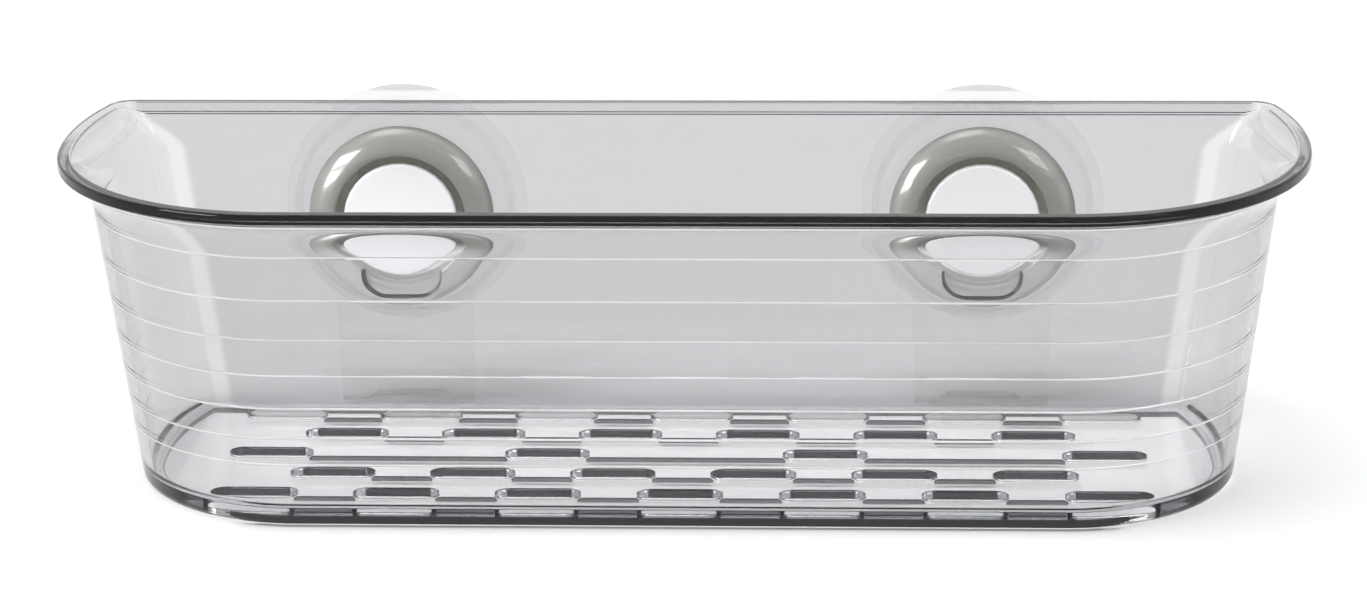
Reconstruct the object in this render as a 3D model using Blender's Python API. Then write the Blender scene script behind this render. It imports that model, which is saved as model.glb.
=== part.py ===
# Shower basket: a clear D-shaped basket held by two lever-lock suction units.
# Metres. +Z is up, the basket's front faces -Y and the suction cups face +Y.
import math

import bmesh
import bpy

# Rim and walls of the basket
RIM_WIDTH = 0.3024
RIM_DEPTH = 0.0965
BASKET_HEIGHT = 0.083
WALL = 0.0023
WALL_LEAN = math.radians(7.25)
END_RADIUS = 0.098
END_CENTRE_DEPTH = 0.034
CORNER_RADIUS = 0.059
BACK_CORNER_RADIUS = 0.006
FLARE_DROP = 0.0128
FLARE_REACH = 0.008
RIM_BAND = 0.0028
RIM_LIP = 0.0034
RIM_STEP = 0.0005
RIM_ROUNDING = 0.0006

# Floor of the basket
FLOOR_THICKNESS = 0.0024
FOOT_HEIGHT = 0.0016
FOOT_WIDTH = 0.002
BASE_FILLET = 0.003
FLOOR_FILLET = 0.003

# Fine raised lines on the front and the ends
RIDGE_WIDTH = 0.0007
RIDGE_HEIGHT = 0.00012
FIRST_RIDGE_SHARE = 0.1622
RIDGE_LOSS_SHARE = 0.0116
RIDGES_BELOW = 6

# Drain slots and the short ribs under the floor
SLOT_LENGTH = 0.0204
SLOT_WIDTH = 0.006
SLOT_PITCH = 0.0343
FIRST_ROW = 0.00875
LAST_ROW = 0.0125
SLOT_ROWS = ((-3, -2, -1, 0, 1, 2, 3), (-2.5, -1.5, -0.5, 0.5, 1.5, 2.5), (-3, -1, 1, 3),
             (-2.5, -1.5, -0.5, 0.5, 1.5, 2.5), (-3, -2, -1, 0, 1, 2, 3))
RIB_AHEAD = 0.0017
RIB_WIDTH = 0.0012
RIB_HEIGHT = 0.001
RIB_OVERRUN = 0.0008

# Suction units, measured from the front face of the basket's back wall
UNIT_SPACING = 0.146
UNIT_DROP = 0.0293
GAP = 0.0003
FIT_GAP = 0.00005
STANDOFF = 0.013

# Lever, pin and stem
LEVER_RADIUS = 0.0143
LEVER_PROUD = 0.004
LEVER_THICKNESS = 0.0014
LEVER_ROUNDING = 0.0006
LEVER_SWING = math.radians(60)
PIN_RISE = 0.009
PIN_RADIUS = 0.0006
EYE_WALL = 0.00075
FIN_WALL = 0.0011
FIN_THICKNESS = 0.0016
FIN_FOOT = 0.006
STEM_TRAVEL = 0.003
STEM_RADIUS = 0.0028
ARM_WIDTH = 0.0056
STEM_HEAD_RADIUS = 0.007
STEM_HEAD = 0.001

# Bezel around the lever
BEZEL_RADIUS = 0.0233
BEZEL_GAP = 0.0021
BEZEL_PROUD = 0.0044
BEZEL_EDGE = 0.0006
DOME_FULLNESS = 1.25
BEZEL_SHELL = 0.0012
BEZEL_DEPTH = 0.0022
SNAP_HEIGHT = 0.00035
SNAP_LENGTH = 0.0009
NOTCH_WIDTH = 0.0188
NOTCH_DEPTH = 0.006
NOTCH_CORNER = 0.0055
NOTCH_WALL = 0.001

# Bracket behind the back wall
COLLAR_WALL = 0.0013
COLLAR_PROUD = 0.0022
PLATE = 0.0018
RECESS_FLOOR = 0.0016
BELL_RADIUS = 0.0278
BELL_WALL = 0.0014
BELL_SHOULDER_SHARE = 0.667
TONGUE_WIDTH = 0.0354
TONGUE_FOOT_WIDTH = 0.0335
FOOT_TOP = 0.0036
FOOT_THICKNESS = 0.0022
FOOT_ROOT_WIDTH = 0.021
FOOT_TIP_WIDTH = 0.017

# Suction cup
CUP_RADIUS = 0.0307
CUP_BOSS_RADIUS = 0.0095
CUP_BOSS_FRONT = 0.0011
CUP_BACK_SKIN = 0.0011
CUP_LIP_WIDTH = 0.0025
CUP_LIP_THICKNESS = 0.0008

# Facets of each round shape
CORNER_STEPS = 14
END_STEPS = 5
BACK_STEPS = 4
FILLET_STEPS = 3
FLARE_STEPS = 6
ROUND_STEPS = 32
PIN_STEPS = 16
SLOT_END_STEPS = 6
CAM_STEPS = 8
DOME_STEPS = 6
CROWN_STEPS = 2
SMOOTH_ANGLE = math.radians(35)

# Sizes that follow from the ones above
FLARE_START = BASKET_HEIGHT - FLARE_DROP
WALL_RISE = FLARE_START - BASE_FILLET
UNIT_HEIGHT = BASKET_HEIGHT - UNIT_DROP
WALL_FRONT = (RIM_DEPTH - STANDOFF) / 2
FLOOR_TOP = FOOT_HEIGHT + FLOOR_THICKNESS
BASE_INSET = FLARE_REACH + WALL_RISE * math.tan(WALL_LEAN)
FLOOR_DEPTH = RIM_DEPTH - BASE_INSET - WALL
ROW_PITCH = (FLOOR_DEPTH - FIRST_ROW - LAST_ROW) / (len(SLOT_ROWS) - 1)
PIN_BACK = LEVER_THICKNESS + GAP + PIN_RADIUS + FIT_GAP + EYE_WALL
PIN_Y = PIN_BACK - LEVER_PROUD
BEZEL_HOLE = LEVER_RADIUS + BEZEL_GAP
COLLAR_INSIDE = BEZEL_HOLE + BEZEL_SHELL + GAP
COLLAR_OUTSIDE = COLLAR_INSIDE + COLLAR_WALL
WALL_HOLE = COLLAR_OUTSIDE + GAP
PLATE_FRONT = WALL + GAP
PLATE_AHEAD = PIN_BACK - LEVER_THICKNESS
TOP_REACH = (LEVER_RADIUS - PIN_RISE) * math.sin(LEVER_SWING) - PLATE_AHEAD * math.cos(LEVER_SWING)
RECESS_BACK = PIN_Y + STEM_TRAVEL + TOP_REACH + GAP
CAM_REACH = RECESS_BACK - PIN_Y - GAP
CAM_PITCH = STEM_TRAVEL / LEVER_SWING
BOSS_FRONT = RECESS_BACK + RECESS_FLOOR + GAP
CUP_SLOPE_START = BOSS_FRONT + CUP_BOSS_FRONT
FOOT_UNDERSIDE = FOOT_TOP - FOOT_THICKNESS


def clear_scene():
    for thing in list(bpy.data.objects):
        bpy.data.objects.remove(thing, do_unlink=True)


def material(name, colour, roughness, metallic=0.0):
    made = bpy.data.materials.new(name)
    made.use_nodes = True
    shader = made.node_tree.nodes["Principled BSDF"]
    shader.inputs["Base Color"].default_value = (*colour, 1.0)
    shader.inputs["Roughness"].default_value = roughness
    shader.inputs["Metallic"].default_value = metallic
    return made


def new_object(name, mesh, location=(0, 0, 0)):
    made = bpy.data.objects.new(name, mesh)
    made.location = location
    bpy.context.scene.collection.objects.link(made)
    return made


def mesh_from(name, points, faces):
    """A closed mesh whose faces all point outwards."""
    built = bmesh.new()
    corners = [built.verts.new(point) for point in points]
    for face in faces:
        built.faces.new([corners[index] for index in face])
    bmesh.ops.recalc_face_normals(built, faces=built.faces)
    mesh = bpy.data.meshes.new(name)
    built.to_mesh(mesh)
    built.free()
    return mesh


def loft(name, rings):
    """A solid through rings of equal count, capped at the first and the last."""
    count = len(rings[0])
    points = [point for ring in rings for point in ring]
    faces = [list(range(count)), [(len(rings) - 1) * count + index for index in range(count)]]
    for level in range(len(rings) - 1):
        for index in range(count):
            after = (index + 1) % count
            faces.append([level * count + index, level * count + after,
                          (level + 1) * count + after, (level + 1) * count + index])
    return mesh_from(name, points, faces)


def turned(name, profile, steps=ROUND_STEPS, hollow=False):
    """A solid turned about the Y axis from (radius, y) points; a hollow one closes on itself."""
    points = []
    rows = []
    for radius, along in profile:
        if radius == 0:
            rows.append([len(points)] * steps)
            points.append((0, along, 0))
            continue
        rows.append([len(points) + index for index in range(steps)])
        for index in range(steps):
            angle = 2 * math.pi * (index + 0.5) / steps
            points.append((radius * math.sin(angle), along, radius * math.cos(angle)))
    faces = []
    for level in range(len(rows) if hollow else len(rows) - 1):
        lower = rows[level]
        upper = rows[(level + 1) % len(rows)]
        for index in range(steps):
            after = (index + 1) % steps
            face = [lower[index], lower[after], upper[after], upper[index]]
            faces.append(list(dict.fromkeys(face)))
    return mesh_from(name, points, faces)


def prism(name, outline, place, start, end):
    """A flat outline carried from start to end; place(u, v, w) gives each corner in space."""
    return loft(name, [[place(u, v, start) for u, v in outline], [place(u, v, end) for u, v in outline]])


def in_plan(u, v, w):
    return (u, v, w)


def from_front(u, v, w):
    return (u, w, v)


def from_side(u, v, w):
    return (w, u, v)


def combined(mesh, tools, operation):
    """The mesh after an exact Boolean with each tool mesh in turn."""
    for tool in tools:
        work = new_object("work", mesh)
        other = new_object("tool", tool)
        modifier = work.modifiers.new("combine", "BOOLEAN")
        modifier.object = other
        modifier.operation = operation
        modifier.solver = "EXACT"
        graph = bpy.context.evaluated_depsgraph_get()
        mesh = bpy.data.meshes.new_from_object(work.evaluated_get(graph))
        bpy.data.objects.remove(work, do_unlink=True)
        bpy.data.objects.remove(other, do_unlink=True)
    return mesh


def cut(mesh, *tools):
    return combined(mesh, tools, "DIFFERENCE")


def joined(mesh, *tools):
    return combined(mesh, tools, "UNION")


def arc(centre, radii, start, end, steps):
    """Points on an arc; radii is one length along each axis."""
    points = []
    for index in range(steps + 1):
        angle = start + (end - start) * index / steps
        points.append((centre[0] + radii[0] * math.cos(angle), centre[1] + radii[1] * math.sin(angle)))
    return points


def corner_centre(end_radius, radius, line):
    """Centre across X of an arc inside the end arc, whose own centre is at depth line."""
    across = (end_radius - radius) ** 2 - (line + END_CENTRE_DEPTH) ** 2
    return RIM_WIDTH / 2 - END_RADIUS + math.sqrt(across)


def outline(inset, back):
    """Plan of the basket, inset from the rim, with its back line at y = back."""
    end_x = RIM_WIDTH / 2 - END_RADIUS
    end_radius = END_RADIUS - inset
    corner = CORNER_RADIUS - inset
    corner_y = CORNER_RADIUS - RIM_DEPTH
    corner_x = corner_centre(end_radius, corner, corner_y)
    back_radius = BACK_CORNER_RADIUS + back - WALL
    back_y = back - back_radius
    back_x = corner_centre(end_radius, back_radius, back_y)
    lower = math.atan2(corner_y + END_CENTRE_DEPTH, corner_x - end_x)
    upper = math.atan2(back_y + END_CENTRE_DEPTH, back_x - end_x)
    half = arc((corner_x, corner_y), (corner, corner), -math.pi / 2, lower, CORNER_STEPS)
    half += arc((end_x, -END_CENTRE_DEPTH), (end_radius, end_radius), lower, upper, END_STEPS)[1:-1]
    half += arc((back_x, back_y), (back_radius, back_radius), upper, math.pi / 2, BACK_STEPS)
    return half + [(-x, y) for x, y in reversed(half)]


def ring(inset, back, height):
    return [(x, y, height) for x, y in outline(inset, back)]


def wall_inset(height):
    return FLARE_REACH + (FLARE_START - height) * math.tan(WALL_LEAN)


def leaning_arc(start, end, steps):
    """Points from start to end on the arc that leaves start along the wall's lean; (inset, height)."""
    across = start[0] - end[0]
    rise = end[1] - start[1]
    turn = 2 * (math.atan2(across, rise) - WALL_LEAN)
    radius = math.hypot(across, rise) / (2 * math.sin(turn / 2))
    points = []
    for index in range(1, steps + 1):
        lean = WALL_LEAN + turn * index / steps
        points.append((start[0] - radius * (math.cos(WALL_LEAN) - math.cos(lean)),
                       start[1] + radius * (math.sin(lean) - math.sin(WALL_LEAN))))
    return points


def ridge_heights():
    heights = [FLARE_START]
    for index in range(RIDGES_BELOW):
        heights.append(heights[-1] - WALL_RISE * (FIRST_RIDGE_SHARE - index * RIDGE_LOSS_SHARE))
    return heights


def outer_rings():
    """Rings up the outside, from the underside of the floor to the rim's band."""
    foot = BASE_INSET + BASE_FILLET
    foot_back = WALL - BASE_FILLET
    rings = [ring(foot + FOOT_WIDTH, foot_back - FOOT_WIDTH, FOOT_HEIGHT),
             ring(foot + FOOT_WIDTH, foot_back - FOOT_WIDTH, 0)]
    for inset, height in arc((foot, BASE_FILLET), (BASE_FILLET, BASE_FILLET), -math.pi / 2,
                             -math.pi, FILLET_STEPS):
        rings.append(ring(inset, WALL - inset + BASE_INSET, height))
    for height in reversed(ridge_heights()):
        rings.append(ring(wall_inset(height - RIDGE_WIDTH / 2), WALL, height - RIDGE_WIDTH / 2))
        rings.append(ring(wall_inset(height) - RIDGE_HEIGHT, WALL, height))
        rings.append(ring(wall_inset(height + RIDGE_WIDTH / 2), WALL, height + RIDGE_WIDTH / 2))
    start = (wall_inset(FLARE_START + RIDGE_WIDTH / 2), FLARE_START + RIDGE_WIDTH / 2)
    end = (RIM_STEP, BASKET_HEIGHT - RIM_BAND)
    for inset, height in leaning_arc(start, end, FLARE_STEPS):
        rings.append(ring(inset, WALL, height))
    return rings


def rim_rings():
    """Rings over the rim, from the foot of its band to its inner lip."""
    band = BASKET_HEIGHT - RIM_BAND
    back = WALL + RIM_STEP
    rings = [ring(RIM_STEP - RIM_ROUNDING / 2, back - RIM_ROUNDING / 2, band),
             ring(0, back, band + RIM_ROUNDING / 2)]
    for inset, height in arc((RIM_ROUNDING, BASKET_HEIGHT - RIM_ROUNDING), (RIM_ROUNDING, RIM_ROUNDING),
                             math.pi, math.pi / 2, FILLET_STEPS):
        rings.append(ring(inset, back - inset, height))
    lip = RIM_LIP - RIM_ROUNDING
    for inset, height in arc((lip, BASKET_HEIGHT - RIM_ROUNDING), (RIM_ROUNDING, RIM_ROUNDING),
                             math.pi / 2, 0, FILLET_STEPS):
        rings.append(ring(inset, back - inset, height))
    return rings


def inner_rings():
    """Rings down the inside, from the lip to the floor."""
    wall = WALL / math.cos(WALL_LEAN)
    start = (wall_inset(FLARE_START) + wall, FLARE_START)
    end = (RIM_LIP, BASKET_HEIGHT - RIM_ROUNDING)
    back = WALL + RIM_STEP - RIM_LIP
    rings = []
    for inset, height in reversed(leaning_arc(start, end, FLARE_STEPS)[:-1]):
        depth = back if height > BASKET_HEIGHT - RIM_BAND else 0
        rings.append(ring(inset, depth, height))
    rings.append(ring(start[0], 0, start[1]))
    top = FLOOR_TOP + FLOOR_FILLET
    foot = wall_inset(top) + wall
    for inset, height in arc((foot + FLOOR_FILLET, top), (FLOOR_FILLET, FLOOR_FILLET), math.pi,
                             3 * math.pi / 2, FILLET_STEPS):
        rings.append(ring(inset, foot - inset, height))
    return rings


def slot_places():
    """(x, y) of every drain slot."""
    for row, columns in enumerate(SLOT_ROWS):
        for column in columns:
            yield column * SLOT_PITCH, -FIRST_ROW - row * ROW_PITCH


def slot_cutter():
    """One mesh with a round-ended prism in the place of each slot."""
    reach = SLOT_LENGTH / 2 - SLOT_WIDTH / 2
    radius = SLOT_WIDTH / 2
    end = arc((reach, 0), (radius, radius), -math.pi / 2, math.pi / 2, SLOT_END_STEPS)
    shape = end + [(-x, -y) for x, y in end]
    return shape_copies("slots", shape, slot_places(), 0, FLOOR_TOP + FOOT_HEIGHT)


def shape_copies(name, shape, places, low, high):
    """Separate upright prisms of one outline, in one mesh."""
    points = []
    faces = []
    count = len(shape)
    for left, along in places:
        first = len(points)
        points += [(left + x, along + y, low) for x, y in shape]
        points += [(left + x, along + y, high) for x, y in shape]
        faces.append([first + index for index in range(count)])
        faces.append([first + count + index for index in range(count)])
        for index in range(count):
            after = (index + 1) % count
            faces.append([first + index, first + after, first + count + after, first + count + index])
    return mesh_from(name, points, faces)


def rib_cutters():
    """A short rib in each gap between two neighbours of a row, by its length."""
    lengths = {}
    for row, columns in enumerate(SLOT_ROWS):
        for left, right in zip(columns, columns[1:]):
            place = ((left + right) / 2 * SLOT_PITCH, -FIRST_ROW - row * ROW_PITCH - RIB_AHEAD)
            lengths.setdefault(right - left, []).append(place)
    for step, places in sorted(lengths.items()):
        half = (step * SLOT_PITCH - SLOT_LENGTH) / 2 + RIB_OVERRUN
        side = RIB_WIDTH / 2
        shape = [(-half, -side), (half, -side), (half, side), (-half, side)]
        yield shape_copies("ribs", shape, places, FOOT_HEIGHT - RIB_HEIGHT, FOOT_HEIGHT + side)


def unit_hole(side):
    hole = turned("hole", [(0, -WALL), (WALL_HOLE, -WALL), (WALL_HOLE, 2 * WALL), (0, 2 * WALL)])
    for corner in hole.vertices:
        corner.co.x += side * UNIT_SPACING / 2
        corner.co.z += UNIT_HEIGHT
    return hole


def basket_mesh():
    body = loft("basket", outer_rings() + rim_rings() + inner_rings())
    body = joined(body, *rib_cutters())
    return cut(body, slot_cutter(), unit_hole(-1), unit_hole(1))


def dome_points(radius, edge, inner, proud):
    """Half section of a dome from its outer edge to its crest; (radius, y)."""
    reach = radius - inner
    rise = proud - edge
    quarter = arc((0, 0), (1, 1), 0, math.pi / 2, DOME_STEPS)
    return [(inner + reach * abs(u) ** DOME_FULLNESS, -edge - rise * abs(v) ** DOME_FULLNESS)
            for u, v in quarter]


def notch_outline(margin):
    """The finger notch seen from the front, grown by a margin."""
    half = NOTCH_WIDTH / 2 + margin
    low = -LEVER_RADIUS - NOTCH_DEPTH - margin
    corner = NOTCH_CORNER + margin
    right = arc((half - corner, low + corner), (corner, corner), -math.pi / 2, 0, DOME_STEPS)
    top = -LEVER_RADIUS / 2
    return right + [(half, top), (-half, top)] + [(-x, z) for x, z in reversed(right)]


def bezel_mesh():
    wall = BEZEL_HOLE + BEZEL_SHELL
    crest = (BEZEL_HOLE + wall) / 2
    outside = [(BEZEL_RADIUS, -GAP)] + dome_points(BEZEL_RADIUS, BEZEL_EDGE + GAP, crest, BEZEL_PROUD)
    bore = arc((crest, BEZEL_SHELL / 2 - BEZEL_PROUD), (BEZEL_SHELL / 2, BEZEL_SHELL / 2),
               -math.pi / 2, -math.pi, CROWN_STEPS)[1:]
    bore.append((BEZEL_HOLE, BEZEL_DEPTH))
    snap = BEZEL_DEPTH - 2 * SNAP_LENGTH
    snap_wall = [(wall, BEZEL_DEPTH), (wall, snap + SNAP_LENGTH), (wall + SNAP_HEIGHT, snap),
                 (wall, snap - SNAP_LENGTH)]
    inside = dome_points(BEZEL_RADIUS - BEZEL_SHELL, BEZEL_EDGE + GAP, wall, BEZEL_PROUD - BEZEL_SHELL)
    inside = [(BEZEL_RADIUS - BEZEL_SHELL, -GAP)] + inside
    shell = turned("bezel", outside + bore + snap_wall + inside[::-1], hollow=True)
    half = BEZEL_SHELL / 2
    middle = dome_points(BEZEL_RADIUS - half, BEZEL_EDGE + GAP, crest, BEZEL_PROUD - half)
    bottom = -GAP - BEZEL_EDGE / 2
    block = turned("block", [(crest, bottom), (BEZEL_RADIUS - half, bottom)] + middle, hollow=True)
    keep = prism("keep", notch_outline(NOTCH_WALL), from_front, -2 * BEZEL_PROUD, BEZEL_PROUD)
    block = combined(block, [keep], "INTERSECT")
    notch = prism("notch", notch_outline(0), from_front, -2 * BEZEL_PROUD, -GAP - NOTCH_WALL)
    return cut(joined(shell, block), notch)


def bracket_mesh():
    snap = BEZEL_DEPTH - 2 * SNAP_LENGTH
    groove = SNAP_HEIGHT + GAP
    back = RECESS_BACK + RECESS_FLOOR
    skirt_end = cup_front(BELL_RADIUS - BELL_WALL) - GAP
    shoulder = COLLAR_OUTSIDE + BELL_SHOULDER_SHARE * (BELL_RADIUS - COLLAR_OUTSIDE)
    profile = [
        (STEM_RADIUS + GAP, RECESS_BACK), (COLLAR_INSIDE, RECESS_BACK),
        (COLLAR_INSIDE, snap + SNAP_LENGTH + groove), (COLLAR_INSIDE + SNAP_HEIGHT, snap + GAP),
        (COLLAR_INSIDE + SNAP_HEIGHT, snap - GAP), (COLLAR_INSIDE, snap - SNAP_LENGTH - groove),
        (COLLAR_INSIDE, -COLLAR_PROUD), (COLLAR_OUTSIDE, -COLLAR_PROUD), (COLLAR_OUTSIDE, PLATE_FRONT),
        (shoulder, PLATE_FRONT), (BELL_RADIUS, PLATE_FRONT + PLATE),
        (BELL_RADIUS, skirt_end), (BELL_RADIUS - BELL_WALL, skirt_end),
        (BELL_RADIUS - BELL_WALL, PLATE_FRONT + PLATE + BELL_WALL / 2),
        (shoulder, PLATE_FRONT + PLATE), (COLLAR_OUTSIDE, PLATE_FRONT + PLATE),
        (COLLAR_OUTSIDE, back), (STEM_RADIUS + GAP, back)]
    bell = turned("bell", profile, hollow=True)
    foot = FOOT_UNDERSIDE - UNIT_HEIGHT
    inside = (COLLAR_OUTSIDE + BELL_RADIUS) / 2
    high = -math.sqrt(inside ** 2 - TONGUE_WIDTH ** 2 / 4)
    tongue = prism("tongue", [(-TONGUE_FOOT_WIDTH / 2, foot), (TONGUE_FOOT_WIDTH / 2, foot),
                              (TONGUE_WIDTH / 2, high), (-TONGUE_WIDTH / 2, high)],
                   from_front, PLATE_FRONT, PLATE_FRONT + PLATE)
    root = PLATE_FRONT + PLATE / 2
    toe = prism("toe", [(-FOOT_ROOT_WIDTH / 2, root), (FOOT_ROOT_WIDTH / 2, root),
                        (FOOT_TIP_WIDTH / 2, STANDOFF - GAP), (-FOOT_TIP_WIDTH / 2, STANDOFF - GAP)],
                in_plan, foot, foot + FOOT_THICKNESS)
    half = NOTCH_WIDTH / 2 + NOTCH_WALL + GAP
    room = prism("room", [(-half, -2 * LEVER_RADIUS), (half, -2 * LEVER_RADIUS), (half, -LEVER_RADIUS / 2),
                          (-half, -LEVER_RADIUS / 2)], from_front, -2 * COLLAR_PROUD, 0)
    return cut(joined(bell, tongue, toe), room)


def cup_front(radius):
    """Depth of the cup's front face at a radius."""
    lip = CUP_RADIUS - CUP_LIP_WIDTH
    share = (radius - CUP_BOSS_RADIUS) / (lip - CUP_BOSS_RADIUS)
    return CUP_SLOPE_START + share * (STANDOFF - CUP_LIP_THICKNESS - CUP_SLOPE_START)


def cup_mesh():
    """A shallow cone, pulled flat as it is when locked, with a pocket that holds the stem's head."""
    lip = CUP_RADIUS - CUP_LIP_WIDTH
    pocket = BOSS_FRONT + CUP_BOSS_FRONT
    pocket_back = pocket + 2 * GAP + STEM_HEAD
    hollow = pocket_back + CUP_BACK_SKIN
    profile = [
        (0, hollow), (CUP_BOSS_RADIUS / 2, hollow), (lip, STANDOFF), (CUP_RADIUS, STANDOFF),
        (CUP_RADIUS, STANDOFF - CUP_LIP_THICKNESS), (lip, STANDOFF - CUP_LIP_THICKNESS),
        (CUP_BOSS_RADIUS, CUP_SLOPE_START), (CUP_BOSS_RADIUS, BOSS_FRONT), (STEM_RADIUS + GAP, BOSS_FRONT),
        (STEM_RADIUS + GAP, pocket), (STEM_HEAD_RADIUS + GAP, pocket), (STEM_HEAD_RADIUS + GAP, pocket_back),
        (0, pocket_back)]
    return turned("cup", profile)


def stem_mesh():
    """Round stem with its head in the cup and a flat arm up to the eye for the pin."""
    head = BOSS_FRONT + CUP_BOSS_FRONT + GAP
    arm_back = RECESS_BACK - STEM_TRAVEL - GAP
    eye = PIN_RADIUS + FIT_GAP + EYE_WALL
    shaft = turned("shaft", [
        (0, head + STEM_HEAD), (STEM_HEAD_RADIUS, head + STEM_HEAD), (STEM_HEAD_RADIUS, head),
        (STEM_RADIUS, head), (STEM_RADIUS, arm_back / 2), (0, arm_back / 2)])
    front = PIN_Y - eye
    top = arc((PIN_Y, PIN_RISE), (eye, eye), math.pi, 0, PIN_STEPS // 2)
    side = top + [(PIN_Y + eye, PIN_RISE - eye), (arm_back, PIN_RISE - 2 * eye - arm_back / 2),
                  (arm_back, -STEM_RADIUS), (front, -STEM_RADIUS)]
    arm = prism("arm", side, from_side, -ARM_WIDTH / 2, ARM_WIDTH / 2)
    eye_hole = pin_shape(PIN_RADIUS + FIT_GAP, ARM_WIDTH, PIN_Y, PIN_RISE)
    return cut(joined(arm, shaft), eye_hole)


def pin_shape(radius, length, along=0, rise=0):
    round_end = arc((along, rise), (radius, radius), 0, 2 * math.pi, PIN_STEPS)[:-1]
    return prism("pin", round_end, from_side, -length, length)


def cam_points():
    """Back edge of a fin about the pin: its reach falls evenly as the lever opens."""
    points = []
    for index in range(CAM_STEPS + 1):
        turn = LEVER_SWING * index / CAM_STEPS
        reach = CAM_REACH - CAM_PITCH * turn
        points.append((reach * math.cos(turn) + CAM_PITCH * math.sin(turn),
                       reach * math.sin(turn) - CAM_PITCH * math.cos(turn)))
    return points


def lever_mesh():
    """Round plate with two fins behind it; the origin is on the pin."""
    front = -PIN_Y - LEVER_PROUD
    edge = arc((LEVER_RADIUS - LEVER_ROUNDING, front + LEVER_ROUNDING), (LEVER_ROUNDING, LEVER_ROUNDING),
               -math.pi / 2, 0, CROWN_STEPS)
    back = front + LEVER_THICKNESS
    plate = turned("plate", [(0, front)] + edge + [(LEVER_RADIUS, back), (0, back)])
    for corner in plate.vertices:
        corner.co.z -= PIN_RISE
    root = front + LEVER_THICKNESS / 2
    round_top = PIN_RADIUS + FIT_GAP + FIN_WALL
    side = [(root, -FIN_FOOT)] + cam_points() + [(0, round_top), (root, round_top)]
    near = ARM_WIDTH / 2 + GAP
    fins = [prism("fin", side, from_side, start, start + FIN_THICKNESS)
            for start in (near, -near - FIN_THICKNESS)]
    holes = pin_shape(PIN_RADIUS + FIT_GAP, near + 2 * FIN_THICKNESS)
    return cut(joined(plate, *fins), holes)


def pin_mesh():
    return pin_shape(PIN_RADIUS, ARM_WIDTH / 2 + GAP + FIN_THICKNESS)


def finish_mesh(mesh):
    """Shades round shapes smooth and keeps their corners sharp."""
    mesh.polygons.foreach_set("use_smooth", [True] * len(mesh.polygons))
    mesh.set_sharp_from_angle(angle=SMOOTH_ANGLE)
    return mesh


def place(name, mesh, location, coating):
    made = new_object(name, mesh, location)
    made.data = mesh.copy()
    made.data.name = name
    made.data.materials.clear()
    made.data.materials.append(coating)
    return made


def main():
    clear_scene()
    basket = finish_mesh(basket_mesh())
    bezel = finish_mesh(bezel_mesh())
    bracket = finish_mesh(bracket_mesh())
    cup = finish_mesh(cup_mesh())
    stem = finish_mesh(stem_mesh())
    lever = finish_mesh(lever_mesh())
    pin = finish_mesh(pin_mesh())
    place("basket_tub", basket, (0, WALL_FRONT, 0), material("clear_grey_plastic", (0.8, 0.82, 0.82), 0.08))
    for side, across in (("left", -UNIT_SPACING / 2), ("right", UNIT_SPACING / 2)):
        axis = (across, WALL_FRONT, UNIT_HEIGHT)
        hinge = (across, WALL_FRONT + PIN_Y, UNIT_HEIGHT + PIN_RISE)
        place(side + "_front_bezel", bezel, axis, material(side + "_bezel_plastic", (0.66, 0.68, 0.64), 0.1))
        place(side + "_mount_bracket", bracket, axis, material(side + "_bracket", (0.64, 0.66, 0.6), 0.15))
        place(side + "_suction_cup", cup, axis, material(side + "_soft_clear", (0.86, 0.87, 0.88), 0.25))
        place(side + "_cup_stem", stem, axis, material(side + "_stem_plastic", (0.72, 0.73, 0.72), 0.3))
        place(side + "_lock_lever", lever, hinge, material(side + "_white_plastic", (0.9, 0.9, 0.91), 0.25))
        place(side + "_pivot_pin", pin, hinge, material(side + "_steel", (0.62, 0.62, 0.63), 0.3, 1.0))


main()
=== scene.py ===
"""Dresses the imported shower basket: clear mouldings, white levers, soft cups, floor, lamps and camera."""
import math
from collections import namedtuple

import bmesh
import bpy
from bpy.props import FloatProperty, FloatVectorProperty, IntProperty, PointerProperty
from bpy.types import Operator, Panel, PropertyGroup
from mathutils import Matrix, Vector


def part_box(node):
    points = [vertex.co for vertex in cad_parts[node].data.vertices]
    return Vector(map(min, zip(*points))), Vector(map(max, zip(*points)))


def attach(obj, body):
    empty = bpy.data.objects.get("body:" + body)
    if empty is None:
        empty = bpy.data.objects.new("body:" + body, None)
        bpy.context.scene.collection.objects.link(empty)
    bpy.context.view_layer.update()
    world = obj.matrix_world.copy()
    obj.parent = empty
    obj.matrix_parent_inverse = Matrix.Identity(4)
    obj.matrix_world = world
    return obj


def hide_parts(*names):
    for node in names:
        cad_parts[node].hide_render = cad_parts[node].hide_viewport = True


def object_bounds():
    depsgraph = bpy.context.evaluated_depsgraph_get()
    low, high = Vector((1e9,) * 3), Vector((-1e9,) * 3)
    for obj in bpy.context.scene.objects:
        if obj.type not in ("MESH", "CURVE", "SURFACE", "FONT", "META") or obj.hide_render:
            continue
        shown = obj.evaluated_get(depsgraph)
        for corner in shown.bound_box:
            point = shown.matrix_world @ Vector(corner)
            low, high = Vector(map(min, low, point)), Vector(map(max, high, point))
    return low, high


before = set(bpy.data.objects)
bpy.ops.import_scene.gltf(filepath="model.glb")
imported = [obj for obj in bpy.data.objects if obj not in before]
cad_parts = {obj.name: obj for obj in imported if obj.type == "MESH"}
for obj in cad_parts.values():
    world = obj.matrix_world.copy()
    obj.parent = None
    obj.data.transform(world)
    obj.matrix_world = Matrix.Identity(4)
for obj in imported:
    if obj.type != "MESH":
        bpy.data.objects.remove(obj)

bl_info = {
    "name": "Shower Basket",
    "version": (1, 0, 0),
    "blender": (4, 5, 0),
    "location": "3D View > Sidebar > Basket",
    "description": "Builds a clear shower basket with two lever-lock suction units",
    "category": "Add Mesh",
}

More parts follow.
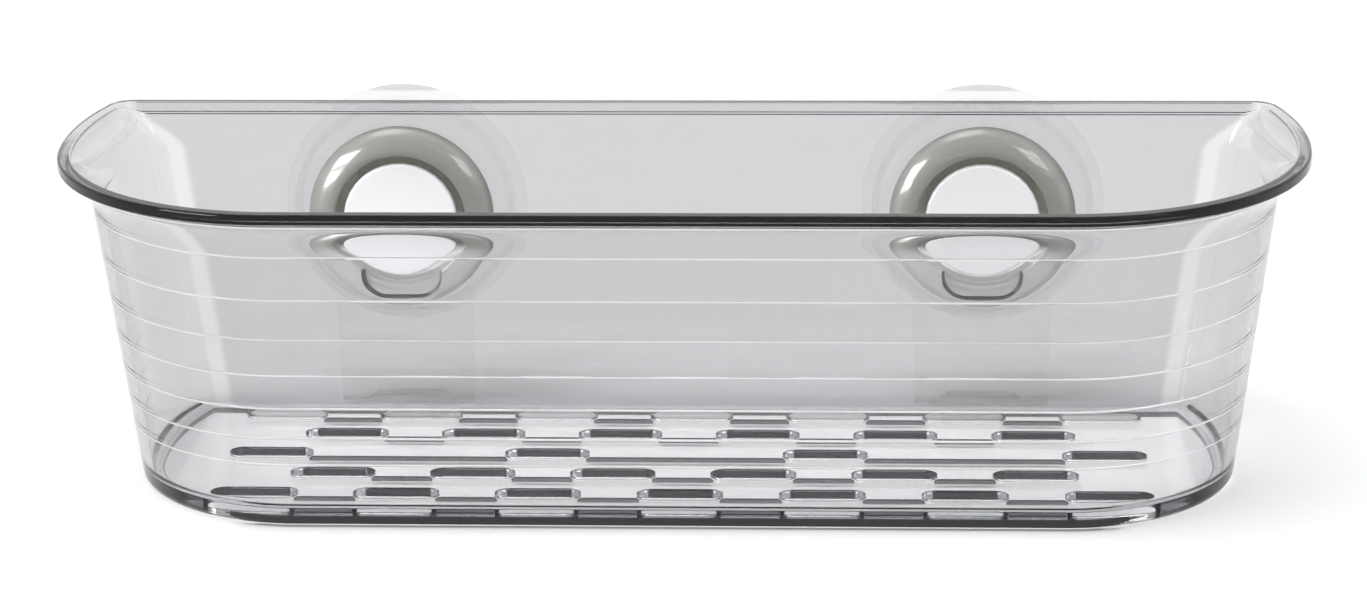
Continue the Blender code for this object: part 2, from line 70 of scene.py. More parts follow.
CAD_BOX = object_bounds()
TUB_LOW, TUB_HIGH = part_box("basket_tub")
CUP_LOW, CUP_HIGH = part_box("right_suction_cup")
SIDES = (("left", -1), ("right", 1))

# Columns of the drain slots, row by row from the back wall.
FULL_ROW = (-3, -2, -1, 0, 1, 2, 3)
SHIFTED_ROW = (-2.5, -1.5, -0.5, 0.5, 1.5, 2.5)
SLOT_ROWS = (FULL_ROW, SHIFTED_ROW, (-3, -1, 1, 3), SHIFTED_ROW, FULL_ROW)

# How many straight steps make each curve.
TURNED_STEPS = 128
FRONT_STEPS = 60
CURVE_STEPS = 24
CORNER_STEPS = 16
FILLET_STEPS = 12
FINE_STEPS = 8
RIM_STEPS = 6
BEND_STEPS = 5
SLOT_STEPS = 4

# Roundings and steps too fine to be sizes of their own.
FOOT_EDGE = 0.0003
BEZEL_EDGE = 0.0002
CUP_SWELL = 0.0005
CUP_EDGE = 0.0001
CUP_STEP = 0.0004
LIP_WIDTH = 0.0006
LIP_RISE = 0.00004

# The largest share of a side that a rounded corner takes.
LONGEST_CUT = 0.45

# Where the rounding under the rim begins, a little past straight down.
LEDGE_START = -0.6 * math.pi

# The ridges start a sixth of the way from the back wall to the front and are full halfway.
RIDGE_RISE, RIDGE_LAG = 3, 0.5

# How far the tool reaches that keeps the bracket clear of the finger notch.
ROOM_DEPTH = 0.01

# Where the painted light and shade change, as shares: of the basket's depth and width, a back corner's
# radius, the lever's radius and the bezel's radius.
STEP_DEPTH = 0.6
STEP_WIDTH = 0.43
END_DEPTHS = (0.9, 0.5)
BACK_FADE = (-0.25, 0.125)
END_FADE = (0.5, 0.8)
LEVER_FADE = 0.7
BEZEL_RIM = 0.99

# How a face's normal tells where it looks: down, straight to the front, at least a little to the front or the
# back, sideways, out of the notch at a slant, and towards the notch's middle.
DOWN = -0.6
FORWARDS = -0.99
SLANTED = 0.25
UPRIGHT = 0.3
NOTCH_SLANT = (-0.6, -0.2)
INWARDS = -0.001

# What the fine grain adds to the roughness of solid plastic and of steel, and the tone of the floor's grain.
PLASTIC_GRAIN = 0.12
STEEL_HAZE, STEEL_GRAIN = 0.22, 0.2
FLOOR_GRAIN = 0.99

# Windows: the width of their bars beside a pane, and where they face.
WINDOW_BAR = 0.12
WINDOW_TARGET = (0, 0, 0.04)

# The kinds of ray that carry what the eye sees, directly or in and through the plastic.
SEEING_RAYS = ("Is Camera Ray", "Is Glossy Ray", "Is Transmission Ray")

# Clear plastic's roughness all over and in its scuffs, the depth of its ripple and the weight of its coat.
Gloss = namedtuple("Gloss", "haze scuffs ripple coat")


def amount(name, description, default, **options):
    return FloatProperty(name=name, description=description, default=default, **options)


def length(name, description, default):
    return amount(name, description, default, min=0, unit="LENGTH")


def angle(name, description, degrees):
    return amount(name, description, math.radians(degrees), unit="ROTATION")


def share(name, description, default):
    return amount(name, description, default, min=0, max=1, subtype="FACTOR")


def position(name, description, default):
    return FloatVectorProperty(name=name, description=description, default=default, subtype="TRANSLATION")


def colour(name, description, default):
    return FloatVectorProperty(name=name, description=description, default=default, size=3, min=0, max=1,
                               subtype="COLOR")


class BASKET_PG_tub(PropertyGroup):
    """Sizes of the basket."""

    rim_width: length("Rim width", "Width over the rim", TUB_HIGH[0] - TUB_LOW[0])
    rim_depth: length("Rim depth", "From the back wall's inner face to the front of the rim", 0.0965)
    height: length("Height", "Height of the rim above the base", TUB_HIGH[2])
    wall: length("Wall", "Thickness of the walls", 0.0023)
    wall_lean: angle("Wall lean", "Lean of the front and the ends", 7.25)
    end_radius: length("End radius", "Radius of each end in plan", 0.098)
    end_centre: length("End centre", "Depth of the end arc's centre", 0.034)
    corner_radius: length("Corner radius", "Radius of each front corner in plan", 0.059)
    back_corner: length("Back corner", "Radius of each back corner in plan", 0.006)
    flare_start: length("Flare start", "Height at which the walls begin to flare", 0.0702)
    flare_reach: length("Flare reach", "How far the flare carries the rim out", 0.008)
    rim_band: length("Rim band", "Height of the rim's upright edge", 0.0028)
    rim_lip: length("Rim lip", "Width of the rim's flat top", 0.0034)
    rim_step: length("Rim step", "Step under the rim's edge", 0.0005)
    rim_rounding: length("Rim rounding", "Rounding of the rim's edges", 0.0006)
    floor: length("Floor", "Thickness of the floor", 0.0024)
    foot_height: length("Foot height", "Height of the floor's underside", 0.0016)
    foot_width: length("Foot width", "Width of the ring that the basket stands on", 0.002)
    base_fillet: length("Base fillet", "Rounding under the walls", 0.003)
    floor_fillet: length("Floor fillet", "Rounding between the floor and the walls", 0.003)
    ridge_width: length("Ridge width", "Width of each raised line", 0.0007)
    ridge_height: length("Ridge height", "How far each raised line stands out", 0.00007)
    # Painted shade: the share of the back wall's painted shade that the ends take; the bright streak is a
    # painted highlight, left clear of it.
    end_shade: share("End density", "How dense the ends are beside the back wall", 0.5)
    painted_streak_place: length("Streak place", "How far in from a back corner its bright streak lies", 0.0042)
    ridge_gap: length("Ridge gap", "Gap between the two topmost lines", 0.0109)
    ridge_loss: length("Ridge gap loss", "How much each gap is less than the one above", 0.00078)
    ridges: IntProperty(name="Ridges", description="Raised lines below the topmost", default=6, min=0)
    slot_length: length("Slot length", "Length of each drain slot", 0.0204)
    slot_width: length("Slot width", "Width of each drain slot", 0.006)
    slot_pitch: length("Slot pitch", "Slot spacing along a row", 0.0343)
    slot_rounding: length("Slot rounding", "Rounding of the slots' edges", 0.0004)
    row_pitch: length("Row pitch", "Spacing of the rows of slots", 0.0141)
    first_row: length("First row", "From the back wall to the first row", 0.00875)
    rib_ahead: length("Rib place", "How far each rib lies in front of its row", 0.0017)
    rib_width: length("Rib width", "Width of the ribs under the floor", 0.0012)
    rib_height: length("Rib height", "Height of the ribs under the floor", 0.001)
    rib_overrun: length("Rib overrun", "How far a rib passes the slots beside it", 0.0008)


class BASKET_PG_units(PropertyGroup):
    """Sizes of the suction units; depths are from the front of the basket's back wall."""

    spacing: length("Spacing", "Distance between the two units", CUP_LOW[0] + CUP_HIGH[0])
    height: length("Height", "Height of the units' centres", 0.0537)
    standoff: length("Standoff", "Depth of the wall that the cups hold", 0.013)
    gap: length("Gap", "Clearance between touching pieces", 0.0003)
    lever_radius: length("Lever radius", "Radius of the white lever", 0.0143)
    bezel_radius: length("Bezel radius", "Outer radius of the clear bezel", 0.0233)
    bezel_gap: length("Bezel gap", "Gap around the lever", 0.0021)
    bezel_proud: length("Bezel front", "How far the bezel stands out", 0.0044)
    bezel_fullness: amount("Bezel fullness", "1 is a round dome and 2 a straight cone", 1.25)
    bezel_edge: length("Bezel edge", "Height of the bezel's upright edge", 0.0006)
    bezel_shell: length("Bezel shell", "Thickness of the bezel's wall", 0.0012)
    bezel_depth: length("Bezel depth", "How far the bezel reaches behind the wall's front", 0.0022)
    snap_height: length("Snap height", "Height of the bezel's snap bead", 0.00035)
    snap_length: length("Snap length", "Half the length of the snap bead", 0.0009)
    notch_width: length("Notch width", "Width of the finger notch", 0.0188)
    notch_depth: length("Notch depth", "How far the notch reaches below the lever", 0.006)
    notch_corner: length("Notch corner", "Radius of the notch's corners", 0.0055)
    notch_draft: length("Notch draft", "How far the notch's sides lean out", 0.0008)
    notch_wall: length("Notch wall", "Thickness of the notch's floor and sides", 0.001)
    collar_wall: length("Collar wall", "Thickness of the bracket's collar", 0.0013)
    collar_proud: length("Collar front", "How far the collar stands out", 0.0022)
    plate: length("Plate", "Thickness of the bracket's plate", 0.0018)
    recess_floor: length("Recess floor", "Thickness of the recess's floor", 0.0016)
    bell_radius: length("Bell radius", "Radius of the bracket's bell", 0.0278)
    bell_faintness: share("Bell faintness", "How much of the clear bell and tongue shows", 0.06)
    # Painted light: below the lever the recess loses this share of its painted shade and of its alpha.
    recess_shade_fade: share("Recess fade", "How much clearer the recess is below the lever", 0.7)
    # The share of the recess's tint and of its alpha that the foot takes.
    foot_share: share("Foot density", "How dense the foot is beside the recess", 0.3)
    bell_wall: length("Bell wall", "Thickness of the bell's skirt", 0.0014)
    tongue_width: length("Tongue width", "Width of the bracket's tongue", 0.0354)
    tongue_foot: length("Tongue foot", "Width of the tongue at its foot", 0.0335)
    foot_top: length("Foot top", "Height of the foot's upper face", 0.0036)
    foot_thickness: length("Foot thickness", "Thickness of the foot", 0.0022)
    foot_root: length("Foot root", "Width of the foot at the tongue", 0.021)
    foot_tip: length("Foot tip", "Width of the foot at the wall", 0.017)
    stem_radius: length("Stem radius", "Radius of the stem", 0.0028)
    stem_head: length("Stem head", "Radius of the stem's head in the cup", 0.007)
    stem_head_thickness: length("Stem head thickness", "Thickness of the stem's head", 0.001)
    cup_radius: length("Cup radius", "Radius of the suction cup", (CUP_HIGH[2] - CUP_LOW[2]) / 2)
    cup_boss: length("Cup boss", "Radius of the cup's thick middle", 0.0095)
    cup_boss_front: length("Cup boss front", "Height of the cup's boss", 0.0011)
    cup_skin: length("Cup skin", "Thickness of the cup behind the stem's head", 0.0011)
    cup_lip: length("Cup lip", "Width of the cup's flat lip", 0.0025)
    cup_lip_thickness: length("Cup lip thickness", "Thickness of the cup's lip", 0.0008)


class BASKET_PG_finish(PropertyGroup):
    """Colours of each plastic, and how it passes light."""

    basket: colour("Basket", "Tint of the basket", (0.983, 0.984, 0.984))
    basket_deep: colour("Basket, deeper", "Tint where the moulding is denser", (0.97, 0.972, 0.974))
    # Painted shade: the back wall's tint stands in for the shade seen through it.
    basket_back_shade: colour("Basket, back", "Tint of the back wall", (0.75, 0.755, 0.765))
    # Painted shade: dark tones where the clear plastic only looks dark because light is lost in it.
    edge: colour("Edges", "Tone of the edges where light is lost", (0.022, 0.022, 0.025))
    edge_shade_deep: colour("Edges, deeper", "Their darker parts", (0.016, 0.016, 0.02))
    ridge: colour("Ridges", "Tint of the fine raised lines", (0.97, 0.97, 0.97))
    ridge_clarity: share("Ridge clarity", "Share of the light that the raised lines let through", 0.6)
    sheen: colour("Sheen", "Colour of the basket's reflections", (0.5, 0.5, 0.52))
    basket_left: colour("Basket, left over", "Colour after a long way through it", (0.39, 0.395, 0.415))
    basket_smoke: amount("Basket smoke", "How fast the basket darkens light inside it", 100.0, min=0)
    bezel: colour("Bezel", "Olive grey of the bezels", (0.52, 0.525, 0.49))
    bezel_deep: colour("Bezel, deeper", "Olive grey where the bezels are denser", (0.5, 0.507, 0.47))
    # Painted light: the paler grey below the lever stands in for light from below.
    bezel_painted_light: colour("Bezel, below", "Paler grey of the bezels round the notch", (0.86, 0.865, 0.86))
    bezel_clarity: share("Bezel clarity", "Share of the light that the bezels let through", 0.6)
    olive: colour("Bracket", "Tint of the brackets", (0.9, 0.905, 0.885))
    olive_deep: colour("Bracket, deeper", "Tint where the brackets are denser", (0.88, 0.888, 0.86))
    olive_left: colour("Bracket, left over", "Colour after a long way through them", (0.4, 0.41, 0.36))
    # Painted shade: dark tints for the notch's sides and the bezel's outer edge, which look dark only by how
    # light passes through them.
    notch: colour("Notch", "Tint of the notch's sides", (0.24, 0.24, 0.25))
    notch_shade_deep: colour("Notch, deeper", "Their darker parts", (0.14, 0.14, 0.16))
    # Painted shade: the recess's dark tint stands in for the shade in it.
    recess_shade: colour("Recess", "Tint of the bracket's recess", (0.14, 0.145, 0.125))
    olive_smoke: amount("Bezel smoke", "How fast the bezels darken light inside them", 40.0, min=0)
    bracket_smoke: amount("Bracket smoke", "How fast the brackets darken light", 20.0, min=0)
    vinyl: colour("Cup", "Tint of the soft cups", (0.78, 0.782, 0.8))
    vinyl_deep: colour("Cup, deeper", "Tint of the cups' cloudier parts", (0.75, 0.752, 0.77))
    vinyl_left: colour("Cup, left over", "Colour after a long way through the cups", (0.6, 0.6, 0.62))
    vinyl_smoke: amount("Cup smoke", "How fast the cups darken light inside them", 60.0, min=0)
    white: colour("Lever", "White of the levers", (0.96, 0.957, 0.975))
    white_deep: colour("Lever, deeper", "White in the moulding's faint flow marks", (0.945, 0.942, 0.96))
    stem: colour("Stem", "Grey of the stems", (0.7, 0.71, 0.7))
    stem_deep: colour("Stem, deeper", "Grey in the stems' grain", (0.64, 0.65, 0.64))
    steel: colour("Steel", "Steel of the pins", (0.6, 0.6, 0.61))
    steel_deep: colour("Steel, deeper", "Drawing marks on the pins", (0.48, 0.48, 0.49))
    shade: share("Shade", "How much lamplight each face of clear plastic lets by", 0.78)
    plastic_ior: amount("Plastic IOR", "Refraction of the clear plastics", 1.57)
    vinyl_alpha: share("Cup faintness", "How much of the cups shows behind the clear wall", 0.14)
    vinyl_ior: amount("Vinyl IOR", "Refraction of the soft cups", 1.5)


class BASKET_PG_stage(PropertyGroup):
    """Camera, lamps and floor."""

    camera_place: position("Camera", "Camera position", (0.05999, -1.03313, 0.38385))
    camera_turn: angle("Camera turn", "Turn of the view towards the left", 3.139)
    camera_drop: angle("Camera drop", "How far the camera looks down", 18.133)
    camera_tilt: angle("Camera tilt", "Tilt of the picture", -0.786)
    lens: amount("Lens", "Focal length in mm", 118.04)
    shift: amount("Shift", "Sideways shift of the lens", -0.00955)
    floor_size: length("Floor size", "Half the width of the floor", 6.0)
    floor_drop: length("Floor drop", "How far the floor lies below the basket", 0.0002)
    floor_white: share("Floor white", "Share of the floor's white that no shadow darkens", 0.1)
    floor_colour: colour("Floor colour", "Colour of the floor under the lamps", (0.98, 0.98, 0.98))
    room_light: amount("Room light", "Level of the room's soft light", 0.44)
    left_window: position("Left window", "Middle of the window at the left", (-0.716, -0.604, 0.258))
    left_pane: length("Left pane", "Width of each of its panes", 0.19)
    left_power: amount("Left power", "Power of each pane at the left", 2.2, unit="POWER")
    right_window: position("Right window", "Middle of the window at the right", (0.542, -0.621, 0.393))
    right_pane: length("Right pane", "Width of each of its panes", 0.14)
    right_power: amount("Right power", "Power of each pane at the right", 0.25, unit="POWER")
    sky_strength: amount("Skylight", "Strength of the soft light above", 2.06)
    sky_place: position("Skylight direction", "Where the soft light comes from", (-0.25, -0.27, 1.0))
    sky_width: angle("Skylight width", "How wide the soft light is", 32)


class Value:
    """A shader socket that arithmetic can be written with."""

    def __init__(self, graph, socket):
        self.graph = graph
        self.socket = socket

    def __add__(self, other):
        return self.graph.maths("ADD", self, other)

    def __radd__(self, other):
        return self.graph.maths("ADD", other, self)

    def __sub__(self, other):
        return self.graph.maths("SUBTRACT", self, other)

    def __rsub__(self, other):
        return self.graph.maths("SUBTRACT", other, self)

    def __mul__(self, other):
        return self.graph.maths("MULTIPLY", self, other)

    def __rmul__(self, other):
        return self.graph.maths("MULTIPLY", other, self)

    def __pow__(self, other):
        return self.graph.maths("POWER", self, other)


class Graph:
    """Builds a node tree from expressions."""

    def __init__(self, tree):
        self.tree = tree
        tree.nodes.clear()

    def node(self, kind, settings, inputs):
        """Makes a node: its settings first, then a value or a link for each named socket."""
        made = self.tree.nodes.new(kind)
        for name, setting in settings.items():
            setattr(made, name, setting)
        for name, value in inputs.items():
            if isinstance(value, Value):
                self.tree.links.new(value.socket, made.inputs[name])
            else:
                made.inputs[name].default_value = value
        return made

    def out(self, kind, settings, inputs, name=0):
        """The named output of a new node."""
        return Value(self, self.node(kind, settings, inputs).outputs[name])

    def maths(self, operation, first, second=0.0):
        return self.out("ShaderNodeMath", {"operation": operation}, {0: first, 1: second})

    def blend(self, factor, first, second):
        """A colour between two."""
        settings = {"data_type": "RGBA"}
        return self.out("ShaderNodeMix", settings, {"Factor": factor, 6: first, 7: second}, 2)

    def place(self):
        return self.out("ShaderNodeTexCoord", {}, {}, "Object")

    def stretched(self, vector, factors):
        settings = {"operation": "MULTIPLY"}
        return self.out("ShaderNodeVectorMath", settings, {0: vector, 1: factors})

    def noise(self, vector, scale, detail, roughness=0.5):
        inputs = {"Vector": vector, "Scale": scale, "Detail": detail, "Roughness": roughness}
        return self.out("ShaderNodeTexNoise", {}, inputs)

    def part(self, vector, axis):
        split = self.node("ShaderNodeSeparateXYZ", {}, {"Vector": vector})
        return Value(self, split.outputs[axis])

    def rise(self, value, start, end):
        """0 below start, 1 beyond end and a soft step between them."""
        inputs = {"Value": value, "From Min": start, "From Max": end}
        return self.out("ShaderNodeMapRange", {"interpolation_type": "SMOOTHSTEP"}, inputs)

    def bump(self, height, depth):
        inputs = {"Height": height, "Distance": depth, "Strength": 1.0}
        return self.out("ShaderNodeBump", {}, inputs)

    def ray(self, *names):
        """1 where the ray is of one of the named kinds."""
        path = self.node("ShaderNodeLightPath", {}, {})
        total = Value(self, path.outputs[names[0]])
        for name in names[1:]:
            total = self.maths("MAXIMUM", total, Value(self, path.outputs[name]))
        return total

    def opaque(self, colour, roughness, bump, metallic=0.0):
        """Ends the tree in a plain surface."""
        shader = self.out("ShaderNodeBsdfPrincipled", {}, {
            "Base Color": colour, "Roughness": roughness, "Normal": bump, "Metallic": metallic})
        self.node("ShaderNodeOutputMaterial", {}, {"Surface": shader})


def solid(tint):
    return (*tint, 1.0)


def new_material(name):
    made = bpy.data.materials.new(name)
    made.use_nodes = True
    return made, Graph(made.node_tree)


def clear_material(name, tints, ior, gloss, smoke=None, painted_tone=None, thin=None, clarity=1.0,
                   sheen=(1, 1, 1), glint=0.0):
    """Clear plastic with faint flow marks, fine scuffs and a moulded ripple; lamps shine through it.

    tints are the tint and its deeper shade. smoke is the colour that is left after a long way through the
    plastic and how fast light gets there. painted_tone is a second tint, which paints light and shade, and
    what makes its share from the graph and the place; thin makes the plastic's alpha in the same way. clarity
    is the share of the light that it lets through; it scatters the rest. sheen is the colour of its
    reflections, and glint is the share that mirrors the room.
    """
    shade = bpy.context.scene.basket_finish.shade
    made, graph = new_material(name)
    place = graph.place()
    flow = graph.noise(graph.stretched(place, (1.0, 1.0, 3.0)), scale=18.0, detail=3.0)
    marks = graph.noise(graph.stretched(place, (1.0, 1.0, 0.25)), scale=900.0, detail=4.0, roughness=0.6)
    ripples = graph.noise(graph.stretched(place, (1.0, 1.0, 0.35)), scale=38.0, detail=1.0)
    colour = graph.blend(flow, solid(tints[0]), solid(tints[1]))
    # A second tint laid on by its mask: painted light and shade.
    if painted_tone:
        colour = graph.blend(painted_tone[1](graph, place), colour, solid(painted_tone[0]))
    shader = graph.out("ShaderNodeBsdfPrincipled", {}, {
        "Base Color": colour,
        "Roughness": marks ** 4 * gloss.scuffs + gloss.haze,
        "Normal": graph.bump(ripples, gloss.ripple),
        "Alpha": thin(graph, place) if thin else 1.0,
        "Transmission Weight": clarity, "Metallic": glint, "IOR": ior,
        "Specular IOR Level": 0.5 - 0.5 * gloss.coat, "Specular Tint": solid(sheen),
        "Coat Weight": gloss.coat, "Coat Roughness": 0.01})
    shaded = solid([shade * part for part in tints[0]])
    passed = graph.out("ShaderNodeBsdfTransparent", {}, {"Color": shaded})
    mixed = graph.out("ShaderNodeMixShader", {}, {0: graph.ray("Is Shadow Ray"), 1: shader, 2: passed})
    outputs = {"Surface": mixed}
    if smoke:
        inside = {"Color": solid(smoke[0]), "Density": smoke[1]}
        outputs["Volume"] = graph.out("ShaderNodeVolumeAbsorption", {}, inside)
    graph.node("ShaderNodeOutputMaterial", {}, outputs)
    return made


def plastic_material(name, tint, deep, gloss, grain, depth):
    """Solid plastic with faint flow marks and the fine grain of its mould."""
    made, graph = new_material(name)
    place = graph.place()
    flow = graph.noise(place, scale=60.0, detail=3.0)
    fine = graph.noise(place, scale=grain, detail=3.0)
    colour = graph.blend(flow, solid(tint), solid(deep))
    graph.opaque(colour, fine * PLASTIC_GRAIN + gloss, graph.bump(fine, depth))
    return made


def steel_material(name, tint, deep):
    """Drawn wire, with marks along its length."""
    made, graph = new_material(name)
    drawn = graph.noise(graph.stretched(graph.place(), (0.05, 1.0, 1.0)), scale=6000.0, detail=3.0)
    colour = graph.blend(drawn, solid(tint), solid(deep))
    graph.opaque(colour, drawn * STEEL_GRAIN + STEEL_HAZE, graph.bump(drawn, depth=0.00001), metallic=1.0)
    return made


def mesh_from(name, points, faces):
    """A closed mesh whose faces all point outwards."""
    built = bmesh.new()
    corners = [built.verts.new(point) for point in points]
    for face in faces:
        built.faces.new([corners[index] for index in face])
    bmesh.ops.recalc_face_normals(built, faces=built.faces)
    mesh = bpy.data.meshes.new(name)
    built.to_mesh(mesh)
    built.free()
    return mesh


def lofts(name, solids):
    """Separate solids in one mesh; each goes through rings of equal count and is capped at both ends."""
    points = []
    faces = []
    for rings in solids:
        count = len(rings[0])
        first = len(points)
        last = first + (len(rings) - 1) * count
        points += [point for ring in rings for point in ring]
        faces += [range(first, first + count), range(last, last + count)]
        for low in range(first, last, count):
            for index in range(count):
                after = (index + 1) % count
                faces.append([low + index, low + after, low + count + after, low + count + index])
    return mesh_from(name, points, faces)


def turned(name, profile):
    """A solid turned about the Y axis; a profile that leaves the axis alone closes on itself."""
    points = []
    rows = []
    for radius, along in profile:
        if radius == 0:
            rows.append([len(points)] * TURNED_STEPS)
            points.append((0, along, 0))
            continue
        rows.append([len(points) + index for index in range(TURNED_STEPS)])
        for index in range(TURNED_STEPS):
            turn = 2 * math.pi * (index + 0.5) / TURNED_STEPS
            points.append((radius * math.sin(turn), along, radius * math.cos(turn)))
    closes = min(radius for radius, _ in profile) > 0
    faces = []
    for level in range(len(rows) if closes else len(rows) - 1):
        lower = rows[level]
        upper = rows[(level + 1) % len(rows)]
        for index in range(TURNED_STEPS):
            after = (index + 1) % TURNED_STEPS
            faces.append(list(dict.fromkeys([lower[index], lower[after], upper[after], upper[index]])))
    return mesh_from(name, points, faces)


def arc(centre, radius, start, end, steps):
    """Points on an arc, its ends included."""
    points = []
    for index in range(steps + 1):
        turn = start + (end - start) * index / steps
        points.append((centre[0] + radius * math.cos(turn), centre[1] + radius * math.sin(turn)))
    return points


def rounded(corners):
    """A profile with its corners rounded; each corner is (u, v, radius), and a radius of 0 stays sharp."""
    points = []
    count = len(corners)
    for index, (u, v, radius) in enumerate(corners):
        here = Vector((u, v))
        before = Vector(corners[index - 1][:2]) - here
        after = Vector(corners[(index + 1) % count][:2]) - here
        if radius == 0 or before.length == 0 or after.length == 0:
            points.append((u, v))
            continue
        half = before.angle(after) / 2
        reach = min(radius / math.tan(half), LONGEST_CUT * min(before.length, after.length))
        first = here + before.normalized() * reach
        last = here + after.normalized() * reach
        for step in range(BEND_STEPS + 1):
            along = step / BEND_STEPS
            point = first * (1 - along) ** 2 + here * 2 * along * (1 - along) + last * along ** 2
            points.append((point.x, point.y))
    return points


def taper(first, last):
    """A symmetrical four-sided shape between two levels; each is (half its width, level, radius)."""
    return rounded([(-first[0], *first[1:]), first, last, (-last[0], *last[1:])])


def prism(name, shape, turn, start, end):
    """A flat shape carried from start to end; turn(u, v, w) gives each corner in space."""
    return lofts(name, [[[turn(u, v, w) for u, v in shape] for w in (start, end)]])


def in_plan(u, v, w):
    return (u, v, w)


def from_front(u, v, w):
    return (u, w, v)


def link(name, mesh):
    made = bpy.data.objects.new(name, mesh)
    bpy.context.scene.collection.objects.link(made)
    return made


def combined(mesh, tools, operation):
    """The mesh after an exact Boolean with each tool mesh in turn."""
    for tool in tools:
        work = link("work", mesh)
        other = link("tool", tool)
        modifier = work.modifiers.new("combine", "BOOLEAN")
        modifier.object = other
        modifier.operation = operation
        modifier.solver = "EXACT"
        graph = bpy.context.evaluated_depsgraph_get()
        mesh = bpy.data.meshes.new_from_object(work.evaluated_get(graph))
        bpy.data.objects.remove(work, do_unlink=True)
        bpy.data.objects.remove(other, do_unlink=True)
    return mesh


def smooth(mesh, sharp_degrees=32):
    """Smooth shading in which the large faces stay flat, so that nothing warps behind them."""
    mesh.polygons.foreach_set("use_smooth", [True] * len(mesh.polygons))
    mesh.set_sharp_from_angle(angle=math.radians(sharp_degrees))
    work = link("work", mesh)
    modifier = work.modifiers.new("flat", "WEIGHTED_NORMAL")
    modifier.mode = "FACE_AREA"
    modifier.weight = 100
    modifier.keep_sharp = True
    graph = bpy.context.evaluated_depsgraph_get()
    made = bpy.data.meshes.new_from_object(work.evaluated_get(graph))
    bpy.data.objects.remove(work, do_unlink=True)
    return made


def piece(name, mesh, body, slot, coating, *nodes):
    """A finished piece that rides on a body and stands for the named CAD nodes."""
    made = link(name, mesh)
    made.data.materials.clear()
    made.data.materials.append(coating)
    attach(made, body)
    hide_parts(*nodes)
    return made


def moved(mesh, offset):
    mesh.transform(Matrix.Translation(offset))
    return mesh


def unit_place(units, side):
    """World place of a unit's centre, at the front of the back wall."""
    return Vector((side * units.spacing / 2, wall_front(), units.height))


def corner_x(tub, end_radius, radius, line):
    across = (end_radius - radius) ** 2 - (line + tub.end_centre) ** 2
    return tub.rim_width / 2 - tub.end_radius + math.sqrt(across)


def outline(tub, inset, back):
    """Plan of the basket, inset from the rim, with its back line at y = back."""
    end_x = tub.rim_width / 2 - tub.end_radius
    end_radius = tub.end_radius - inset
    corner = tub.corner_radius - inset
    corner_y = tub.corner_radius - tub.rim_depth
    corner_middle = corner_x(tub, end_radius, corner, corner_y)
    back_radius = tub.back_corner + back - tub.wall
    back_y = back - back_radius
    back_middle = corner_x(tub, end_radius, back_radius, back_y)
    lower = math.atan2(corner_y + tub.end_centre, corner_middle - end_x)
    upper = math.atan2(back_y + tub.end_centre, back_middle - end_x)
    half = arc((corner_middle, corner_y), corner, -math.pi / 2, lower, FRONT_STEPS)
    half += arc((end_x, -tub.end_centre), end_radius, lower, upper, CURVE_STEPS)[1:-1]
    half += arc((back_middle, back_y), back_radius, upper, math.pi / 2, FILLET_STEPS)
    return half + [(-x, y) for x, y in reversed(half)]


def wall_inset(tub, height):
    return tub.flare_reach + (tub.flare_start - height) * math.tan(tub.wall_lean)


def leaning_arc(tub, start, end):
    """Points from start to end on the arc that leaves start along the wall's lean; (inset, height)."""
    across = start[0] - end[0]
    rise = end[1] - start[1]
    turn = 2 * (math.atan2(across, rise) - tub.wall_lean)
    radius = math.hypot(across, rise) / (2 * math.sin(turn / 2))
    points = []
    for index in range(1, CURVE_STEPS + 1):
        lean = tub.wall_lean + turn * index / CURVE_STEPS
        points.append((start[0] - radius * (math.cos(tub.wall_lean) - math.cos(lean)),
                       start[1] + radius * (math.sin(lean) - math.sin(tub.wall_lean))))
    return points


def ridge_heights(tub):
    heights = [tub.flare_start]
    for index in range(tub.ridges):
        heights.append(heights[-1] - tub.ridge_gap + index * tub.ridge_loss)
    return heights


def tub_profile(tub):
    """(inset, back, height), and a ridge's swell, up the outside, over the rim and down the inside."""
    base = wall_inset(tub, tub.base_fillet)
    foot = base + tub.base_fillet
    ring = foot + tub.foot_width
    ring_back = tub.wall - tub.base_fillet - tub.foot_width
    rows = [(ring, ring_back, tub.foot_height), (ring, ring_back, FOOT_EDGE),
            (ring - FOOT_EDGE, ring_back + FOOT_EDGE, 0)]
    for inset, height in arc((foot, tub.base_fillet), tub.base_fillet, -math.pi / 2, -math.pi, FILLET_STEPS):
        rows.append((inset, tub.wall - inset + base, height))
    for height in reversed(ridge_heights(tub)):
        for step in range(FINE_STEPS + 1):
            along = 2 * step / FINE_STEPS - 1
            level = height + along * tub.ridge_width / 2
            swell = tub.ridge_height * math.cos(along * math.pi / 2) ** 2
            rows.append((wall_inset(tub, level), tub.wall, level, swell))
    level = tub.flare_start + tub.ridge_width / 2
    band = tub.height - tub.rim_band
    for inset, height in leaning_arc(tub, (wall_inset(tub, level), level), (tub.rim_step, band)):
        rows.append((inset, tub.wall, height))
    radius = tub.rim_rounding
    top = tub.height - radius
    rim = arc((radius, band + radius), radius, LEDGE_START, -math.pi, BEND_STEPS)
    rim += arc((radius, top), radius, math.pi, math.pi / 2, RIM_STEPS)
    rim += arc((tub.rim_lip - radius, top), radius, math.pi / 2, 0, RIM_STEPS)
    back = tub.wall + tub.rim_step
    rows += [(inset, back - inset, height) for inset, height in rim]
    return rows + inner_profile(tub)


